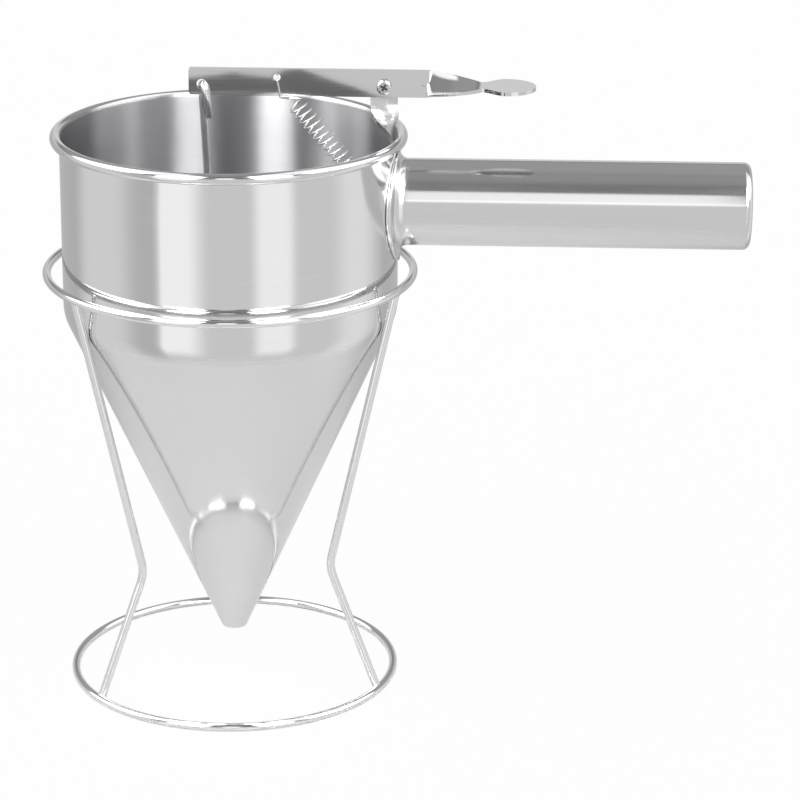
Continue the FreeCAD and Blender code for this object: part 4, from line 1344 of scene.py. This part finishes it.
def spring_route(scene):
    """Control points of the spring's wire, with the blend's start and end."""
    sizes = scene.dispenser_spring
    lever = scene.dispenser_lever
    y = lever_y(lever)
    gap = lever.thickness / 2 + HOOK_GAP + sizes.wire_radius
    hole_x = lever.spring_hole_x
    hole_z = PIVOT_Z + lever.centre_above_pivot + lever.spring_hole_rise
    wire_z = hole_z - lever.spring_hole_radius + sizes.wire_radius + HOOK_GAP
    start = Vector((hole_x + sizes.coil_ahead, y, hole_z - sizes.coil_drop))
    anchor = anchor_point(scene)
    along = (anchor - start).normalized()
    across = -AXIS_Y.cross(along).normalized()
    behind = across.cross(along).normalized()
    pitch = ((anchor - start).length - sizes.end_run) / sizes.turns

    def coil(turns):
        turn = 2 * math.pi * turns
        radial = across * math.cos(turn) + behind * math.sin(turn)
        return start + along * (pitch * turns) + radial * sizes.mean_radius

    corner = Vector((hole_x + sizes.hook_shift, y - gap, hole_z - sizes.hook_drop))
    first = coil(0)
    lead = corner + (Vector((first.x, y - gap, first.z)) - corner) * 0.4
    soft = sizes.hook_round
    down = (corner - Vector((hole_x, y - gap, wire_z))).normalized()
    route = [
        Vector((hole_x, y + gap, wire_z + sizes.end_length)),
        Vector((hole_x, y + gap, wire_z + soft)),
        Vector((hole_x, y + gap, wire_z)),
        Vector((hole_x, y + gap - soft, wire_z)),
        Vector((hole_x, y - gap + soft, wire_z)),
        Vector((hole_x, y - gap, wire_z)),
        Vector((hole_x, y - gap, wire_z)) + down * soft,
        corner - down * soft,
        corner,
        corner + (lead - corner) * 0.3,
        lead,
    ]
    route += [coil(step / sizes.steps) for step in range(sizes.turns * sizes.steps + 1)]
    below = anchor - Vector((0, 0, lever.thickness + HOOK_GAP + sizes.wire_radius))
    route += [
        anchor + Vector((0, 0, lever.thickness)),
        below + Vector((0, 0, soft)),
        below,
        below - Vector((soft, 0, 0)),
        below - Vector((sizes.end_length, 0, 0)),
    ]
    return route, start, anchor


class DISPENSER_OT_valve(bpy.types.Operator):
    """Bend the valve rod and turn its plug"""

    bl_idname = "dispenser.valve"
    bl_label = "Valve"

    def execute(self, context):
        scene = context.scene
        sizes = scene.dispenser_valve
        rod = bar("lift_rod", rod_route(scene), sizes.rod_radius, WIRE_SIDES)
        eased_edges(rod, sizes.end_round, 2, 60.0)
        smooth(rod, WIRE_SMOOTH)
        dressed(rod, drawn_rod_stainless(), "valve", "wire_steel", "valve_rod")
        plug = turned("seat_plug", plug_profile(sizes), 96)
        smooth(plug, TURNED_SMOOTH)
        dressed(plug, lathe_turned_stainless(), "valve", "fastener_steel", "valve_plug")
        return {"FINISHED"}


def rod_route(scene):
    """Route of the rod from the plug up to its hook."""
    sizes = scene.dispenser_valve
    lever = scene.dispenser_lever
    y = lever_y(lever)
    span = lever.thickness / 2 + sizes.strip_gap + sizes.rod_radius
    z = PIVOT_Z + lever.centre_above_pivot - lever.rod_hole_drop
    front = Vector((lever.rod_hole_x + sizes.hook_splay, y - span, z))
    corners = [
        Vector((0, 0, PLUG_HIGH.z - sizes.bore_depth)),
        Vector((0, 0, PLUG_HIGH.z + sizes.straight)),
        Vector((lever.rod_hole_x - sizes.rod_splay, y + span, z)),
        front,
        front + Vector((sizes.hook_lean, 0, -sizes.hook_length)),
    ]
    bend = span - sizes.hook_flat
    return rounded_route(corners, [sizes.slant_round, bend, bend])


# Radius of the hairline that the turned plug keeps in its middle
PLUG_POLE_RADIUS = 0.05 * MM


def plug_profile(sizes):
    """Section of the plug as (radius, z), with eased edges and its bore."""
    widest = PLUG_HIGH.x
    low, high = PLUG_LOW.z, PLUG_HIGH.z
    cone_top = low + sizes.cone_height
    seat = widest - sizes.cone_height * math.tan(cone_angle(bpy.context.scene.dispenser_funnel))
    bore = sizes.rod_radius + PRESS_GAP
    ease = sizes.plug_ease
    floor_z = high - sizes.bore_depth
    return [
        (PLUG_POLE_RADIUS, low), (seat - ease, low), (seat, low + ease), (widest, cone_top),
        (widest, cone_top + sizes.body_height), (sizes.collar_radius + ease, high - ease),
        (sizes.collar_radius, high), (bore, high), (bore, floor_z),
        (PLUG_POLE_RADIUS, floor_z), (PLUG_POLE_RADIUS, low),
    ]


class DISPENSER_OT_stand(bpy.types.Operator):
    """Bend and weld the wire stand: two rings, three legs and six welds"""

    bl_idname = "dispenser.stand"
    bl_label = "Stand"

    def execute(self, context):
        sizes = context.scene.dispenser_stand
        metal = bright_wire()
        bead_metal = weld_metal()
        top = hoop("top_hoop", TOP_RING_RADIUS, TOP_RING_Z)
        smooth(top, WIRE_SMOOTH)
        dressed(top, metal, "stand", "wire_steel", "stand_top_ring")
        base = hoop("base_hoop", BASE_RING_RADIUS, BASE_RING_Z)
        flatten_foot(base)
        smooth(base, WIRE_SMOOTH)
        dressed(base, metal, "stand", "wire_steel", "stand_base_ring")
        corners = leg_corners(context.scene)
        bead = weld_bead(sizes)
        for index, side in enumerate(("left", "right", "rear")):
            turn = Matrix.Rotation(sizes.left_turn + sizes.leg_turn * index, 4, "Z")
            leg = bar(f"leg_{side}", rounded_route(corners, [sizes.bend_round]), WIRE_RADIUS, WIRE_SIDES)
            leg.data.transform(turn)
            smooth(leg, WIRE_SMOOTH)
            dressed(leg, metal, "stand", "wire_steel", f"stand_leg_{side}")
            for end, place in (("top", corners[0]), ("foot", corners[-1])):
                weld = bead.copy()
                weld.data = bead.data.copy()
                weld.name = f"weld_{end}_{side}"
                bpy.context.scene.collection.objects.link(weld)
                weld.data.transform(turn @ Matrix.Translation(weld_place(end, place)))
                dressed(weld, bead_metal, "stand", "wire_steel")
        bpy.data.objects.remove(bead)
        return {"FINISHED"}


def hoop(name, radius, height):
    """Wire ring of the stand."""
    clear_selection()
    bpy.ops.mesh.primitive_torus_add(
        major_radius=radius, minor_radius=WIRE_RADIUS, major_segments=288, minor_segments=28,
        location=(0, 0, height),
    )
    piece = named(name)
    settle(piece)
    return piece


def flatten_foot(piece):
    """Cut the narrow worn flat on which the base ring stands."""
    select_only(piece)
    bpy.ops.object.mode_set(mode="EDIT")
    bpy.ops.mesh.select_all(action="SELECT")
    bpy.ops.mesh.bisect(plane_co=(0, 0, 0), plane_no=(0, 0, 1), clear_inner=True, use_fill=False)
    bpy.ops.mesh.select_all(action="DESELECT")
    bpy.ops.mesh.select_non_manifold()
    bpy.ops.mesh.bridge_edge_loops()
    bpy.ops.object.mode_set(mode="OBJECT")
    outward(piece)


def leg_corners(scene):
    """Top, bend and foot of a leg in the plane Y = 0, its upper run along the funnel's shoulder."""
    sizes = scene.dispenser_stand
    bend = Vector((sizes.bend_radius, 0, sizes.bend_z))
    ring = Vector((TOP_RING_RADIUS - sizes.top_outset, 0, TOP_RING_Z))
    run = (ring - bend).normalized()
    top = bend + run * ((ring.z - sizes.top_drop - bend.z) / run.z)
    foot = Vector((BASE_RING_RADIUS - sizes.foot_inset, 0, BASE_RING_Z + sizes.foot_rise))
    return [top, bend, foot]


# How far a bead lies from the wire's end towards the ring's centre, as a share
WELD_SHARE = 0.35


def weld_place(end, place):
    """Where a bead lies, between the wire's end and the ring's centre."""
    if end == "top":
        ring = Vector((TOP_RING_RADIUS, 0, TOP_RING_Z))
    else:
        ring = Vector((BASE_RING_RADIUS, 0, BASE_RING_Z))
    return place + (ring - place) * WELD_SHARE


def weld_bead(sizes):
    """Small lumpy bead, modelled once."""
    clear_selection()
    bpy.ops.mesh.primitive_ico_sphere_add(subdivisions=4, radius=sizes.weld_radius)
    bead = named("weld_bead")
    for vertex in bead.data.vertices:
        place = vertex.co / sizes.weld_radius
        lump = 0.06 * math.sin(5 * place.x + 2 * place.z) + 0.05 * math.sin(7 * place.y + 1)
        vertex.co = place * (sizes.weld_radius * (0.95 + lump))
        vertex.co.z *= 0.9
    smooth(bead, BEAD_SMOOTH)
    return bead


class DISPENSER_PT_panel(bpy.types.Panel):
    """Sidebar list of the dispenser's pieces"""

    bl_label = "Batter Dispenser"
    bl_idname = "DISPENSER_PT_panel"
    bl_space_type = "VIEW_3D"
    bl_region_type = "UI"
    bl_category = "Dispenser"

    def draw(self, context):
        for operator in OPERATORS:
            self.layout.operator(operator.bl_idname)


GROUPS = {
    "dispenser_funnel": FunnelSizes,
    "dispenser_handle": HandleSizes,
    "dispenser_lever": LeverSizes,
    "dispenser_pivot": PivotSizes,
    "dispenser_spring": SpringSizes,
    "dispenser_valve": ValveSizes,
    "dispenser_stand": StandSizes,
    "dispenser_finishes": SteelFinishes,
    "dispenser_stage": StageSettings,
}
OPERATORS = (
    DISPENSER_OT_stage,
    DISPENSER_OT_funnel,
    DISPENSER_OT_handle,
    DISPENSER_OT_lever,
    DISPENSER_OT_bracket,
    DISPENSER_OT_pivot,
    DISPENSER_OT_spring,
    DISPENSER_OT_valve,
    DISPENSER_OT_stand,
)


def register():
    """Register the property groups, operators and panel."""
    for name, group in GROUPS.items():
        bpy.utils.register_class(group)
        setattr(bpy.types.Scene, name, PointerProperty(type=group))
    for operator in OPERATORS:
        bpy.utils.register_class(operator)
    bpy.utils.register_class(DISPENSER_PT_panel)


def unregister():
    """Remove the panel, operators and property groups."""
    bpy.utils.unregister_class(DISPENSER_PT_panel)
    for operator in reversed(OPERATORS):
        bpy.utils.unregister_class(operator)
    for name, group in GROUPS.items():
        delattr(bpy.types.Scene, name)
        bpy.utils.unregister_class(group)


def main():
    """Build every piece in order."""
    register()
    bpy.ops.dispenser.stage()
    bpy.ops.dispenser.funnel()
    bpy.ops.dispenser.handle()
    bpy.ops.dispenser.lever()
    bpy.ops.dispenser.bracket()
    bpy.ops.dispenser.pivot()
    bpy.ops.dispenser.spring()
    bpy.ops.dispenser.valve()
    bpy.ops.dispenser.stand()


if __name__ == "__main__":
    main()
